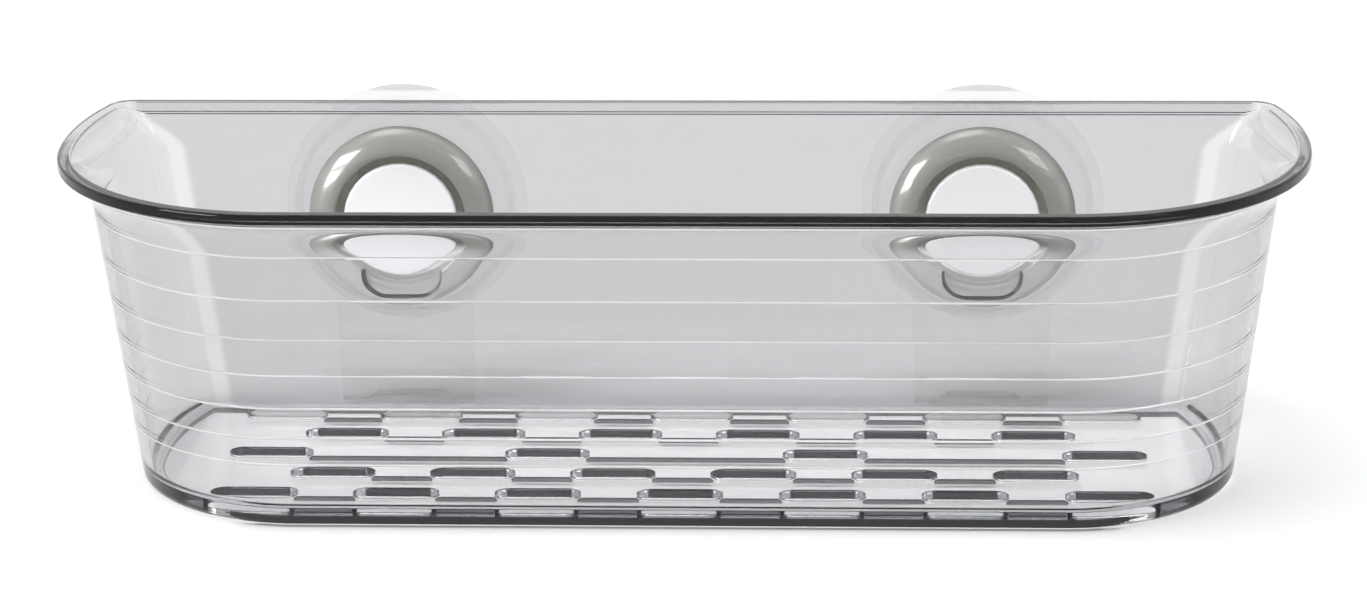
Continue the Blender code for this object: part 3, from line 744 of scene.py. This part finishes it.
def inner_profile(tub):
    wall = tub.wall / math.cos(tub.wall_lean)
    start = (wall_inset(tub, tub.flare_start) + wall, tub.flare_start)
    end = (tub.rim_lip, tub.height - tub.rim_rounding)
    lip_back = tub.wall + tub.rim_step - tub.rim_lip
    rows = []
    for inset, height in reversed(leaning_arc(tub, start, end)[:-1]):
        rows.append((inset, lip_back if height > tub.height - tub.rim_band else 0, height))
    rows.append((start[0], 0, start[1]))
    top = tub.foot_height + tub.floor + tub.floor_fillet
    foot = wall_inset(tub, top) + wall
    centre = (foot + tub.floor_fillet, top)
    for inset, height in arc(centre, tub.floor_fillet, math.pi, 3 * math.pi / 2, FILLET_STEPS):
        rows.append((inset, foot - inset, height))
    return rows


def stacked(name, places, levels):
    """The same upright solid at each place; levels are (shape, height) from the lowest up."""
    return lofts(name, [[[(left + x, along + y, height) for x, y in shape] for shape, height in levels]
                        for left, along in places])


def row_depth(tub, row):
    return -tub.first_row - row * tub.row_pitch


def slot_outline(tub, grow):
    reach = tub.slot_length / 2 - tub.slot_width / 2
    end = arc((reach, 0), tub.slot_width / 2 + grow, -math.pi / 2, math.pi / 2, CORNER_STEPS)
    return end + [(-x, -y) for x, y in end]


def slot_cutter(tub):
    """All slots in one mesh, flared at the floor's upper and lower faces to round the edges."""
    places = [(column * tub.slot_pitch, row_depth(tub, row))
              for row, columns in enumerate(SLOT_ROWS) for column in columns]
    top = tub.foot_height + tub.floor
    widest = slot_outline(tub, tub.slot_rounding)
    curve = []
    for step in range(SLOT_STEPS + 1):
        turn = step * math.pi / 2 / SLOT_STEPS
        curve.append((slot_outline(tub, tub.slot_rounding * (1 - math.sin(turn))),
                      tub.slot_rounding * (1 - math.cos(turn))))
    levels = [(widest, 0)] + [(shape, tub.foot_height + rise) for shape, rise in curve]
    levels += [(shape, top - rise) for shape, rise in reversed(curve)] + [(widest, top + tub.floor)]
    return stacked("slots", places, levels)


def oblong(half, side):
    return [(half, -side), (half, side), (-half, side), (-half, -side)]


def ribs(tub):
    """A short rib in each gap between two neighbours of a row, by its length."""
    lengths = {}
    for row, columns in enumerate(SLOT_ROWS):
        for left, right in zip(columns, columns[1:]):
            middle = ((left + right) / 2 * tub.slot_pitch, row_depth(tub, row) - tub.rib_ahead)
            lengths.setdefault(right - left, []).append(middle)
    side = tub.rib_width / 2
    trim = side / 3
    low = tub.foot_height - tub.rib_height
    for step, places in sorted(lengths.items()):
        half = (step * tub.slot_pitch - tub.slot_length) / 2 + tub.rib_overrun
        wide = oblong(half, side)
        yield stacked("ribs", places, [(oblong(half - trim, side - trim), low), (wide, low + trim),
                                       (wide, tub.foot_height + side)])


def raised_ring(tub, inset, back, height, swell=0):
    """A ring of the basket; a ridge's swell fades out along the ends, towards the back wall."""
    ring = []
    for plain, raised in zip(outline(tub, inset, back), outline(tub, inset - swell, back)):
        full = min(1, max(0, -plain[1] / tub.rim_depth * RIDGE_RISE - RIDGE_LAG))
        x, y = (low + (high - low) * full for low, high in zip(plain, raised))
        ring.append((x, y, height))
    return ring


def tub_mesh(tub, units):
    rings = [raised_ring(tub, *row) for row in tub_profile(tub)]
    body = combined(lofts("basket", [rings]), ribs(tub), "UNION")
    hole = units.lever_radius + units.bezel_gap + units.bezel_shell + units.collar_wall + 2 * units.gap
    cutters = [slot_cutter(tub)]
    for _, side in SIDES:
        profile = [(0, -tub.wall), (hole, -tub.wall), (hole, 2 * tub.wall), (0, 2 * tub.wall)]
        cutters.append(moved(turned("hole", profile), (side * units.spacing / 2, 0, units.height)))
    return smooth(combined(body, cutters, "DIFFERENCE"), sharp_degrees=24)


def dome(units, shrink, inner):
    """Section of the bezel's dome from its outer edge to its crest; (radius, y)."""
    edge = units.bezel_edge + units.gap
    reach = units.bezel_radius - shrink - inner
    rise = units.bezel_proud - shrink - edge
    return [(inner + reach * abs(u) ** units.bezel_fullness, -edge - rise * abs(v) ** units.bezel_fullness)
            for u, v in arc((0, 0), 1, 0, math.pi / 2, CURVE_STEPS)]


def notch_outline(units, margin):
    """The finger notch seen from the front, grown by a margin."""
    half = units.notch_width / 2 + margin
    low = -units.lever_radius - units.notch_depth - margin
    corner = units.notch_corner + margin
    right = arc((half - corner, low + corner), corner, -math.pi / 2, 0, CORNER_STEPS)
    top = -units.lever_radius / 2
    return right + [(half, top), (-half, top)] + [(-x, z) for x, z in reversed(right)]


def notch_cutter(units):
    """A finger notch whose sides lean outwards towards the front."""
    back = -units.gap - units.notch_wall
    front = -units.bezel_proud
    levels = ((0, back), (units.notch_draft, front), (units.notch_draft, 2 * front))
    return lofts("notch", [[[from_front(u, v, depth) for u, v in notch_outline(units, margin)]
                            for margin, depth in levels]])


def bezel_mesh(units):
    hole = units.lever_radius + units.bezel_gap
    wall = hole + units.bezel_shell
    half = units.bezel_shell / 2
    crest = hole + half
    outer = dome(units, 0, crest)
    edge = [(units.bezel_radius - BEZEL_EDGE, -units.gap), (units.bezel_radius, -units.gap - BEZEL_EDGE)]
    crown = arc((crest, half - units.bezel_proud), half, -math.pi / 2, -math.pi, FINE_STEPS)[1:]
    snap = units.bezel_depth - 2 * units.snap_length
    tail = [(hole, units.bezel_depth), (wall, units.bezel_depth), (wall, snap + units.snap_length),
            (wall + units.snap_height, snap), (wall, snap - units.snap_length)]
    inner = [(units.bezel_radius - units.bezel_shell, -units.gap)] + dome(units, units.bezel_shell, wall)
    shell = turned("bezel", edge + outer + crown + tail + inner[::-1])
    bottom = -units.gap - units.bezel_edge / 2
    block = turned("block", [(crest, bottom), (units.bezel_radius - half, bottom)] + dome(units, half, crest))
    grown = notch_outline(units, units.notch_wall + units.notch_draft)
    keep = prism("keep", grown, from_front, -2 * units.bezel_proud, units.bezel_proud)
    block = combined(block, [keep], "INTERSECT")
    return smooth(combined(combined(shell, [block], "UNION"), [notch_cutter(units)], "DIFFERENCE"))


def cup_front(units, boss_front, radius):
    lip = units.cup_radius - units.cup_lip
    start = boss_front + units.cup_boss_front
    along = (radius - units.cup_boss) / (lip - units.cup_boss)
    return start + along * (units.standoff - units.cup_lip_thickness - start)


def bracket_mesh(units, tub, boss_front):
    inside = units.lever_radius + units.bezel_gap + units.bezel_shell + units.gap
    outside = inside + units.collar_wall
    floor = boss_front - units.gap - units.recess_floor
    plate = tub.wall + units.gap
    snap = units.bezel_depth - 2 * units.snap_length
    groove = units.snap_height + units.gap
    bore = units.stem_radius + units.gap
    skirt = units.bell_radius - units.bell_wall
    end = cup_front(units, boss_front, skirt) - units.gap
    shoulder = (outside + 2 * units.bell_radius) / 3
    profile = rounded([
        (bore, floor, 0.0002), (inside, floor, 0.0005), (inside, snap + units.snap_length + groove, 0),
        (inside + units.snap_height, snap + units.gap, 0), (inside + units.snap_height, snap - units.gap, 0),
        (inside, snap - units.snap_length - groove, 0), (inside, -units.collar_proud, 0.0003),
        (outside, -units.collar_proud, 0.0003), (outside, plate, 0.0002), (shoulder, plate, 0.002),
        (units.bell_radius, plate + units.plate, 0.0012), (units.bell_radius, end, 0.0003),
        (skirt, end, 0.0003), (skirt, plate + units.plate + units.bell_wall / 2, 0.0008),
        (shoulder, plate + units.plate, 0.001), (outside, plate + units.plate, 0.0005),
        (outside, boss_front - units.gap, 0.0003), (bore, boss_front - units.gap, 0.0002)])
    bell = turned("bell", profile)
    foot = units.foot_top - units.foot_thickness - units.height
    reach = (outside + units.bell_radius) / 2
    high = -math.sqrt(reach ** 2 - units.tongue_width ** 2 / 4)
    tongue = taper((units.tongue_foot / 2, foot, 0.0015), (units.tongue_width / 2, high, 0))
    root = plate + units.plate / 2
    tip = units.standoff - units.gap
    toe = taper((units.foot_root / 2, root, 0), (units.foot_tip / 2, tip, 0.001))
    half = units.notch_width / 2 + units.notch_draft + units.notch_wall + units.gap
    room = taper((half, -2 * units.lever_radius, 0), (half, -units.lever_radius / 2, 0))
    added = (prism("tongue", tongue, from_front, plate, plate + units.plate),
             prism("toe", toe, in_plan, foot, foot + units.foot_thickness))
    taken = (prism("room", room, from_front, -ROOM_DEPTH, 0),)
    return smooth(combined(combined(bell, added, "UNION"), taken, "DIFFERENCE"))


def cup_mesh(units, boss_front):
    lip = units.cup_radius - units.cup_lip
    pocket = boss_front + units.cup_boss_front
    pocket_back = pocket + 2 * units.gap + units.stem_head_thickness
    hollow = pocket_back + units.cup_skin
    front = []
    for step in range(FILLET_STEPS + 1):
        along = step / FILLET_STEPS
        radius = lip + (units.cup_boss - lip) * along
        front.append((radius, cup_front(units, boss_front, radius) + CUP_SWELL * math.sin(along * math.pi)))
    half_lip = units.cup_lip_thickness / 2
    middle = (units.cup_radius - half_lip, units.standoff - half_lip)
    edge = arc(middle, half_lip, math.pi / 2, -math.pi / 2, FINE_STEPS)
    profile = [(0, hollow), (units.cup_boss / 2, hollow), (units.cup_boss, hollow + CUP_EDGE),
               (lip - LIP_WIDTH, units.standoff - LIP_RISE), (lip, units.standoff)]
    profile += edge + front + [
        (units.cup_boss - CUP_EDGE, pocket - CUP_STEP), (units.cup_boss - CUP_STEP, boss_front),
        (units.stem_radius + units.gap, boss_front), (units.stem_radius + units.gap, pocket),
        (units.stem_head + units.gap, pocket), (units.stem_head + units.gap, pocket_back), (0, pocket_back)]
    return smooth(turned("cup", profile))


class BASKET_OT_tub(Operator):
    """Build the clear basket"""

    bl_idname = "basket.tub"
    bl_label = "Basket"

    def execute(self, context):
        tub = context.scene.basket_tub
        units = context.scene.basket_units
        finish = context.scene.basket_finish
        gloss = Gloss(haze=0.0, scuffs=0.05, ripple=0.000006, coat=0.0)
        # The back wall's tint is painted shade, and the clear back corners are painted highlights.
        coating = clear_material("clear_basket_plastic", (finish.basket, finish.basket_deep),
                                 finish.plastic_ior, gloss, (finish.basket_left, finish.basket_smoke),
                                 (finish.basket_back_shade, back_wall_shade), sheen=finish.sheen)
        # Painted shade: opaque dark edges where the clear plastic only looks dark because light is lost in
        # it.
        edges = plastic_material("painted_shade_basket_edges", finish.edge, finish.edge_shade_deep, gloss=0.06, grain=1500.0,
                                 depth=0.000002)
        # Light enters by a ridge and leaves by the wall, so smoke of the ridges' own would never end.
        pale = clear_material("pale_basket_ridges", (finish.ridge, finish.basket_deep), finish.plastic_ior,
                              gloss, glint=1 - finish.ridge_clarity)
        mesh = moved(tub_mesh(tub, units), (0, wall_front(), 0))
        made = piece("basket_shell", mesh, "basket_body", "basket_plastic", coating, "basket_tub")
        made.data.materials.append(edges)
        made.data.materials.append(pale)
        paint_edge_shade(made.data, tub)
        brighten_ridges(made.data, tub)
        return {"FINISHED"}


def back_wall_shade(graph, place):
    """Share of the back wall's painted shade: 1 on the flat back wall, less on the ends, and 0 on the front
    and in the back corners, whose bright streaks are painted highlights.
    """
    tub = bpy.context.scene.basket_tub
    height = graph.part(place, "Z")
    behind = graph.part(place, "Y")
    across = graph.maths("ABSOLUTE", graph.part(place, "X"))
    flare = (1.0 - graph.rise(height, tub.flare_start, tub.height)) * (tub.flare_reach + tub.painted_streak_place)
    lean = graph.maths("MAXIMUM", tub.flare_start - height, 0.0) * math.tan(tub.wall_lean)
    top = corner_x(tub, tub.end_radius, tub.back_corner, tub.wall - tub.back_corner)
    past = across - top + flare + lean
    back = graph.rise(behind, wall_front() - tub.floor_fillet, wall_front())
    back = back * (1.0 - graph.rise(past, *[tub.back_corner * part for part in BACK_FADE]))
    far = graph.rise(behind, *[wall_front() - tub.rim_depth * part for part in END_DEPTHS])
    end = graph.rise(past, *[tub.back_corner * part for part in END_FADE]) * far
    return graph.maths("MAXIMUM", back, end * tub.end_shade)


def floor_front():
    """World depth of the floor's front edge."""
    tub = bpy.context.scene.basket_tub
    return wall_front() - tub.rim_depth + wall_inset(tub, tub.base_fillet) + tub.base_fillet


def paint_edge_shade(mesh, tub):
    """Gives the painted shade to the places where light is lost: rim step, floor's front, slots' rear walls
    and ribs.
    """
    slots = wall_front() - tub.first_row - tub.slot_width
    floor_top = tub.foot_height + tub.floor
    band = tub.height - tub.rim_band
    ahead = wall_front() - tub.rim_depth * STEP_DEPTH
    for face in mesh.polygons:
        x, y, z = face.center
        seen = y < ahead or (y > wall_front() - tub.rim_lip and abs(x) < tub.rim_width * STEP_WIDTH)
        step = abs(z - band) < tub.rim_rounding and face.normal.z < DOWN and seen
        front = z < floor_top and y < floor_front() and abs(face.normal.y) > SLANTED
        slot = tub.foot_height < z < floor_top and floor_front() < y < slots and face.normal.y < FORWARDS
        row = (wall_front() - tub.first_row - tub.rib_ahead - y) / tub.row_pitch
        near = abs(row - round(row)) * tub.row_pitch < tub.rib_width and 0 <= round(row) < len(SLOT_ROWS)
        rib = near and z < tub.foot_height - tub.rib_width / 8 and abs(x) < max(FULL_ROW) * tub.slot_pitch
        if step or front or slot or rib:
            face.material_index = 1


def brighten_ridges(mesh, tub):
    """Gives the crest of each ridge the pale material."""
    heights = ridge_heights(tub)
    for face in mesh.polygons:
        if min(abs(face.center.z - height) for height in heights) < tub.ridge_width / 4:
            ahead = face.center.y < wall_front() - tub.rim_depth / 2
            if ahead and face.center.y * face.normal.y > 0:
                face.material_index = 2


def wall_front():
    """World depth of the front face of the basket's back wall."""
    units = bpy.context.scene.basket_units
    return CUP_HIGH[1] - units.standoff


def boss_front():
    """Depth of the front of the cup's boss, from the front of the back wall."""
    return CUP_LOW[1] - wall_front()


class BASKET_OT_bezels(Operator):
    """Build the domed bezels around the levers"""

    bl_idname = "basket.bezels"
    bl_label = "Bezels"

    def execute(self, context):
        units = context.scene.basket_units
        finish = context.scene.basket_finish
        smoke = (finish.olive_left, finish.olive_smoke)
        gloss = Gloss(haze=0.22, scuffs=0.05, ripple=0.00001, coat=1.0)
        # The paler grey below the lever is painted light.
        coating = clear_material("olive_bezel_plastic", (finish.bezel, finish.bezel_deep), finish.plastic_ior,
                                 gloss, smoke, (finish.bezel_painted_light, below_the_lever),
                                 clarity=finish.bezel_clarity)
        # Painted shade: dark tints for the notch's sides and the bezel's outer edge.
        gloss = Gloss(haze=0.05, scuffs=0.05, ripple=0.00001, coat=0.0)
        edges = clear_material("painted_shade_notch_edges", (finish.notch, finish.notch_shade_deep), finish.plastic_ior,
                               gloss, smoke)
        for name, side in SIDES:
            mesh = moved(bezel_mesh(units), unit_place(units, side))
            made = piece(name + "_bezel_dome", mesh, "basket_body", "bezel_plastic", coating,
                         name + "_front_bezel")
            made.data.materials.append(edges)
            paint_notch_shade(made.data, units, unit_place(units, side))
        return {"FINISHED"}


def below_the_lever(graph, place):
    """Where the painted light and the fade of painted shade go: 0 above the middle of the lever and 1 near
    its lower edge.
    """
    units = bpy.context.scene.basket_units
    return graph.rise(units.height - graph.part(place, "Z"), 0.0, units.lever_radius * LEVER_FADE)


def paint_notch_shade(mesh, units, offset):
    """Gives the notch's leaning sides and the bezel's outer edge the second material, which is painted shade.
    """
    reach = units.notch_width / 2 + units.notch_draft
    low = -units.lever_radius - units.notch_depth - units.notch_draft
    for face in mesh.polygons:
        centre = face.center - offset
        within = abs(centre.x) < reach and low < centre.z < -units.lever_radius / 2
        ahead = centre.y < -units.gap - units.notch_wall
        inwards = face.normal.x * centre.x + face.normal.z * (centre.z + units.lever_radius) < INWARDS
        side = within and ahead and inwards and NOTCH_SLANT[0] < face.normal.y < NOTCH_SLANT[1]
        rim = math.hypot(centre.x, centre.z) > BEZEL_RIM * units.bezel_radius and abs(face.normal.y) < UPRIGHT
        if side or rim:
            face.material_index = 1


def recess_and_foot(graph, place):
    """Share of the dark tint and of full alpha: 1 in the bracket's recess, where the tint is painted shade,
    less in its foot, and 0 in the bell and the tongue.
    """
    units = bpy.context.scene.basket_units
    across = graph.maths("ABSOLUTE", graph.part(place, "X")) - units.spacing / 2
    height = graph.part(place, "Z")
    above = height - units.height
    radius = graph.maths("SQRT", across * across + above * above)
    collar = units.lever_radius + units.bezel_gap + units.bezel_shell + units.gap + units.collar_wall
    recess = 1.0 - graph.rise(radius, collar, collar + units.collar_wall)
    # Painted light: the recess's painted shade fades below the lever.
    recess = recess * (1.0 - below_the_lever(graph, place) * units.recess_shade_fade)
    foot = 1.0 - graph.rise(height, units.foot_top, units.foot_top + units.foot_thickness / 2)
    return graph.maths("MAXIMUM", recess, foot * units.foot_share)


def bracket_density(graph, place):
    """Full in the recess and the foot; faint in the bell and the tongue, which are thin and clear."""
    faint = bpy.context.scene.basket_units.bell_faintness
    return recess_and_foot(graph, place) * (1 - faint) + faint


class BASKET_OT_brackets(Operator):
    """Build the brackets behind the back wall"""

    bl_idname = "basket.brackets"
    bl_label = "Brackets"

    def execute(self, context):
        units = context.scene.basket_units
        finish = context.scene.basket_finish
        gloss = Gloss(haze=0.15, scuffs=0.08, ripple=0.00001, coat=0.0)
        # The recess's dark tint is painted shade.
        coating = clear_material("olive_bracket_plastic", (finish.olive, finish.olive_deep),
                                 finish.plastic_ior, gloss, (finish.olive_left, finish.bracket_smoke),
                                 (finish.recess_shade, recess_and_foot), bracket_density)
        for name, side in SIDES:
            mesh = bracket_mesh(units, context.scene.basket_tub, boss_front())
            piece(name + "_bracket_bell", moved(mesh, unit_place(units, side)), "basket_body",
                  "bracket_plastic", coating, name + "_mount_bracket")
        return {"FINISHED"}


def cup_density(graph, place):
    """Full above the rim and faint behind the clear back wall."""
    faint = bpy.context.scene.basket_finish.vinyl_alpha
    tub = bpy.context.scene.basket_tub
    return graph.rise(graph.part(place, "Z"), tub.height - tub.rim_rounding, tub.height) * (1 - faint) + faint


class BASKET_OT_cups(Operator):
    """Build the soft suction cups"""

    bl_idname = "basket.cups"
    bl_label = "Suction cups"

    def execute(self, context):
        units = context.scene.basket_units
        finish = context.scene.basket_finish
        gloss = Gloss(haze=0.06, scuffs=0.1, ripple=0.00002, coat=0.0)
        coating = clear_material("soft_clear_vinyl", (finish.vinyl, finish.vinyl_deep), finish.vinyl_ior,
                                 gloss, (finish.vinyl_left, finish.vinyl_smoke), thin=cup_density)
        for name, side in SIDES:
            mesh = moved(cup_mesh(units, boss_front()), unit_place(units, side))
            piece(name + "_soft_cup", mesh, name + "_plunger", "cup_vinyl", coating, name + "_suction_cup")
        return {"FINISHED"}


class BASKET_OT_levers(Operator):
    """Finish the white levers, their pins and the stems"""

    bl_idname = "basket.levers"
    bl_label = "Levers, pins and stems"

    def execute(self, context):
        finish = context.scene.basket_finish
        white = plastic_material("white_lever_plastic", finish.white, finish.white_deep, gloss=0.14,
                                 grain=1500.0, depth=0.000004)
        grey = plastic_material("grey_stem_plastic", finish.stem, finish.stem_deep, gloss=0.3,
                                grain=2500.0, depth=0.00001)
        steel = steel_material("drawn_pin_steel", finish.steel, finish.steel_deep)
        for name, _ in SIDES:
            for node, coating in (("_lock_lever", white), ("_cup_stem", grey), ("_pivot_pin", steel)):
                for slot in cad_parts[name + node].material_slots:
                    slot.material = coating
        return {"FINISHED"}


class BASKET_OT_stage(Operator):
    """Set up the floor, the lamps, the room and the camera"""

    bl_idname = "basket.stage"
    bl_label = "Stage"

    def execute(self, context):
        stage = context.scene.basket_stage
        add_floor(stage)
        add_room(context.scene, stage)
        add_window("left_window", stage.left_window, stage.left_pane, stage.left_power)
        add_window("right_window", stage.right_window, stage.right_pane, stage.right_power)
        add_sun(stage)
        add_camera(context.scene, stage)
        context.scene.view_settings.view_transform = "Standard"
        return {"FINISHED"}


def add_floor(stage):
    """A pale floor that keeps the basket's shadow and looks white in clear plastic too."""
    size = stage.floor_size
    low = CAD_BOX[0][2] - stage.floor_drop
    mesh = bpy.data.meshes.new("floor")
    corners = [(-size, -size, low), (size, -size, low), (size, size, low), (-size, size, low)]
    mesh.from_pydata(corners, [], [(0, 1, 2, 3)])
    floor = link("floor", mesh)
    made, graph = new_material("pale_floor")
    grain = graph.noise(graph.place(), scale=40.0, detail=3.0)
    duller = solid([FLOOR_GRAIN * part for part in stage.floor_colour])
    lit = graph.out("ShaderNodeBsdfDiffuse", {}, {
        "Color": graph.blend(grain, solid(stage.floor_colour), duller)})
    glow = graph.out("ShaderNodeEmission", {}, {"Color": (1, 1, 1, 1), "Strength": 1.0})
    seen = graph.ray(*SEEING_RAYS) * stage.floor_white
    mixed = graph.out("ShaderNodeMixShader", {}, {0: seen, 1: lit, 2: glow})
    graph.node("ShaderNodeOutputMaterial", {}, {"Surface": mixed})
    mesh.materials.append(made)


def add_room(scene, stage):
    """White behind the basket, and a soft light from all round."""
    world = bpy.data.worlds.new("room")
    world.use_nodes = True
    graph = Graph(world.node_tree)
    level = graph.ray(*SEEING_RAYS) * (1 - stage.room_light) + stage.room_light
    shown = graph.out("ShaderNodeBackground", {}, {"Color": (1, 1, 1, 1), "Strength": level})
    graph.node("ShaderNodeOutputWorld", {}, {"Surface": shown})
    scene.world = world


def add_lamp(name, place, facing, size, power):
    """A square pane that shows in reflections only, so the skylight alone sets the level of the light."""
    lamp = bpy.data.lights.new(name, "AREA")
    lamp.shape = "SQUARE"
    lamp.size = size
    lamp.energy = power
    made = link(name, lamp)
    made.location = place
    made.rotation_euler = facing.to_track_quat("-Z", "Y").to_euler()
    made.visible_camera = False
    made.visible_diffuse = False


def add_sun(stage):
    """An even soft light from above that gives the floor its faint shadow."""
    sun = bpy.data.lights.new("skylight", "SUN")
    sun.energy = stage.sky_strength
    sun.angle = stage.sky_width
    made = link("skylight", sun)
    made.rotation_euler = Vector(stage.sky_place).to_track_quat("Z", "Y").to_euler()
    made.visible_glossy = False


def add_window(name, place, pane, power):
    """Four panes that face the basket, with glazing bars between them."""
    centre = Vector(place)
    facing = (Vector(WINDOW_TARGET) - centre).normalized()
    across = facing.cross(Vector((0, 0, 1))).normalized()
    up = across.cross(facing)
    step = pane * (1 + WINDOW_BAR) / 2
    for column, side in ((-1, "near"), (1, "far")):
        for row, level in ((-1, "low"), (1, "high")):
            offset = across * column * step + up * row * step
            add_lamp(f"{name}_{side}_{level}", centre + offset, facing, pane, power)


def add_camera(scene, stage):
    camera = bpy.data.cameras.new("camera")
    camera.lens = stage.lens
    camera.sensor_width = 36.0
    camera.sensor_fit = "HORIZONTAL"
    camera.shift_x = stage.shift
    made = link("camera", camera)
    turn, drop, tilt = stage.camera_turn, stage.camera_drop, stage.camera_tilt
    ahead = Vector((-math.sin(turn) * math.cos(drop), math.cos(turn) * math.cos(drop), -math.sin(drop)))
    level = Vector((math.cos(turn), math.sin(turn), 0))
    up = level.cross(ahead)
    side = level * math.cos(tilt) + up * math.sin(tilt)
    top = up * math.cos(tilt) - level * math.sin(tilt)
    basis = Matrix((side, top, -ahead)).transposed().to_4x4()
    made.matrix_world = Matrix.Translation(stage.camera_place) @ basis
    scene.camera = made


OPERATORS = (BASKET_OT_tub, BASKET_OT_bezels, BASKET_OT_brackets, BASKET_OT_cups, BASKET_OT_levers,
             BASKET_OT_stage)


class BASKET_PT_panel(Panel):
    """Lists the steps that build the basket"""

    bl_idname = "BASKET_PT_panel"
    bl_label = "Shower Basket"
    bl_space_type = "VIEW_3D"
    bl_region_type = "UI"
    bl_category = "Basket"

    def draw(self, context):
        for operator in OPERATORS:
            self.layout.operator(operator.bl_idname)


GROUPS = (("basket_tub", BASKET_PG_tub), ("basket_units", BASKET_PG_units),
          ("basket_finish", BASKET_PG_finish), ("basket_stage", BASKET_PG_stage))


def register():
    for name, group in GROUPS:
        bpy.utils.register_class(group)
        setattr(bpy.types.Scene, name, PointerProperty(type=group))
    for operator in OPERATORS:
        bpy.utils.register_class(operator)
    bpy.utils.register_class(BASKET_PT_panel)


def unregister():
    bpy.utils.unregister_class(BASKET_PT_panel)
    for operator in reversed(OPERATORS):
        bpy.utils.unregister_class(operator)
    for name, group in reversed(GROUPS):
        delattr(bpy.types.Scene, name)
        bpy.utils.unregister_class(group)


def main():
    register()
    bpy.ops.basket.tub()
    bpy.ops.basket.bezels()
    bpy.ops.basket.brackets()
    bpy.ops.basket.cups()
    bpy.ops.basket.levers()
    bpy.ops.basket.stage()


if __name__ == "__main__":
    main()
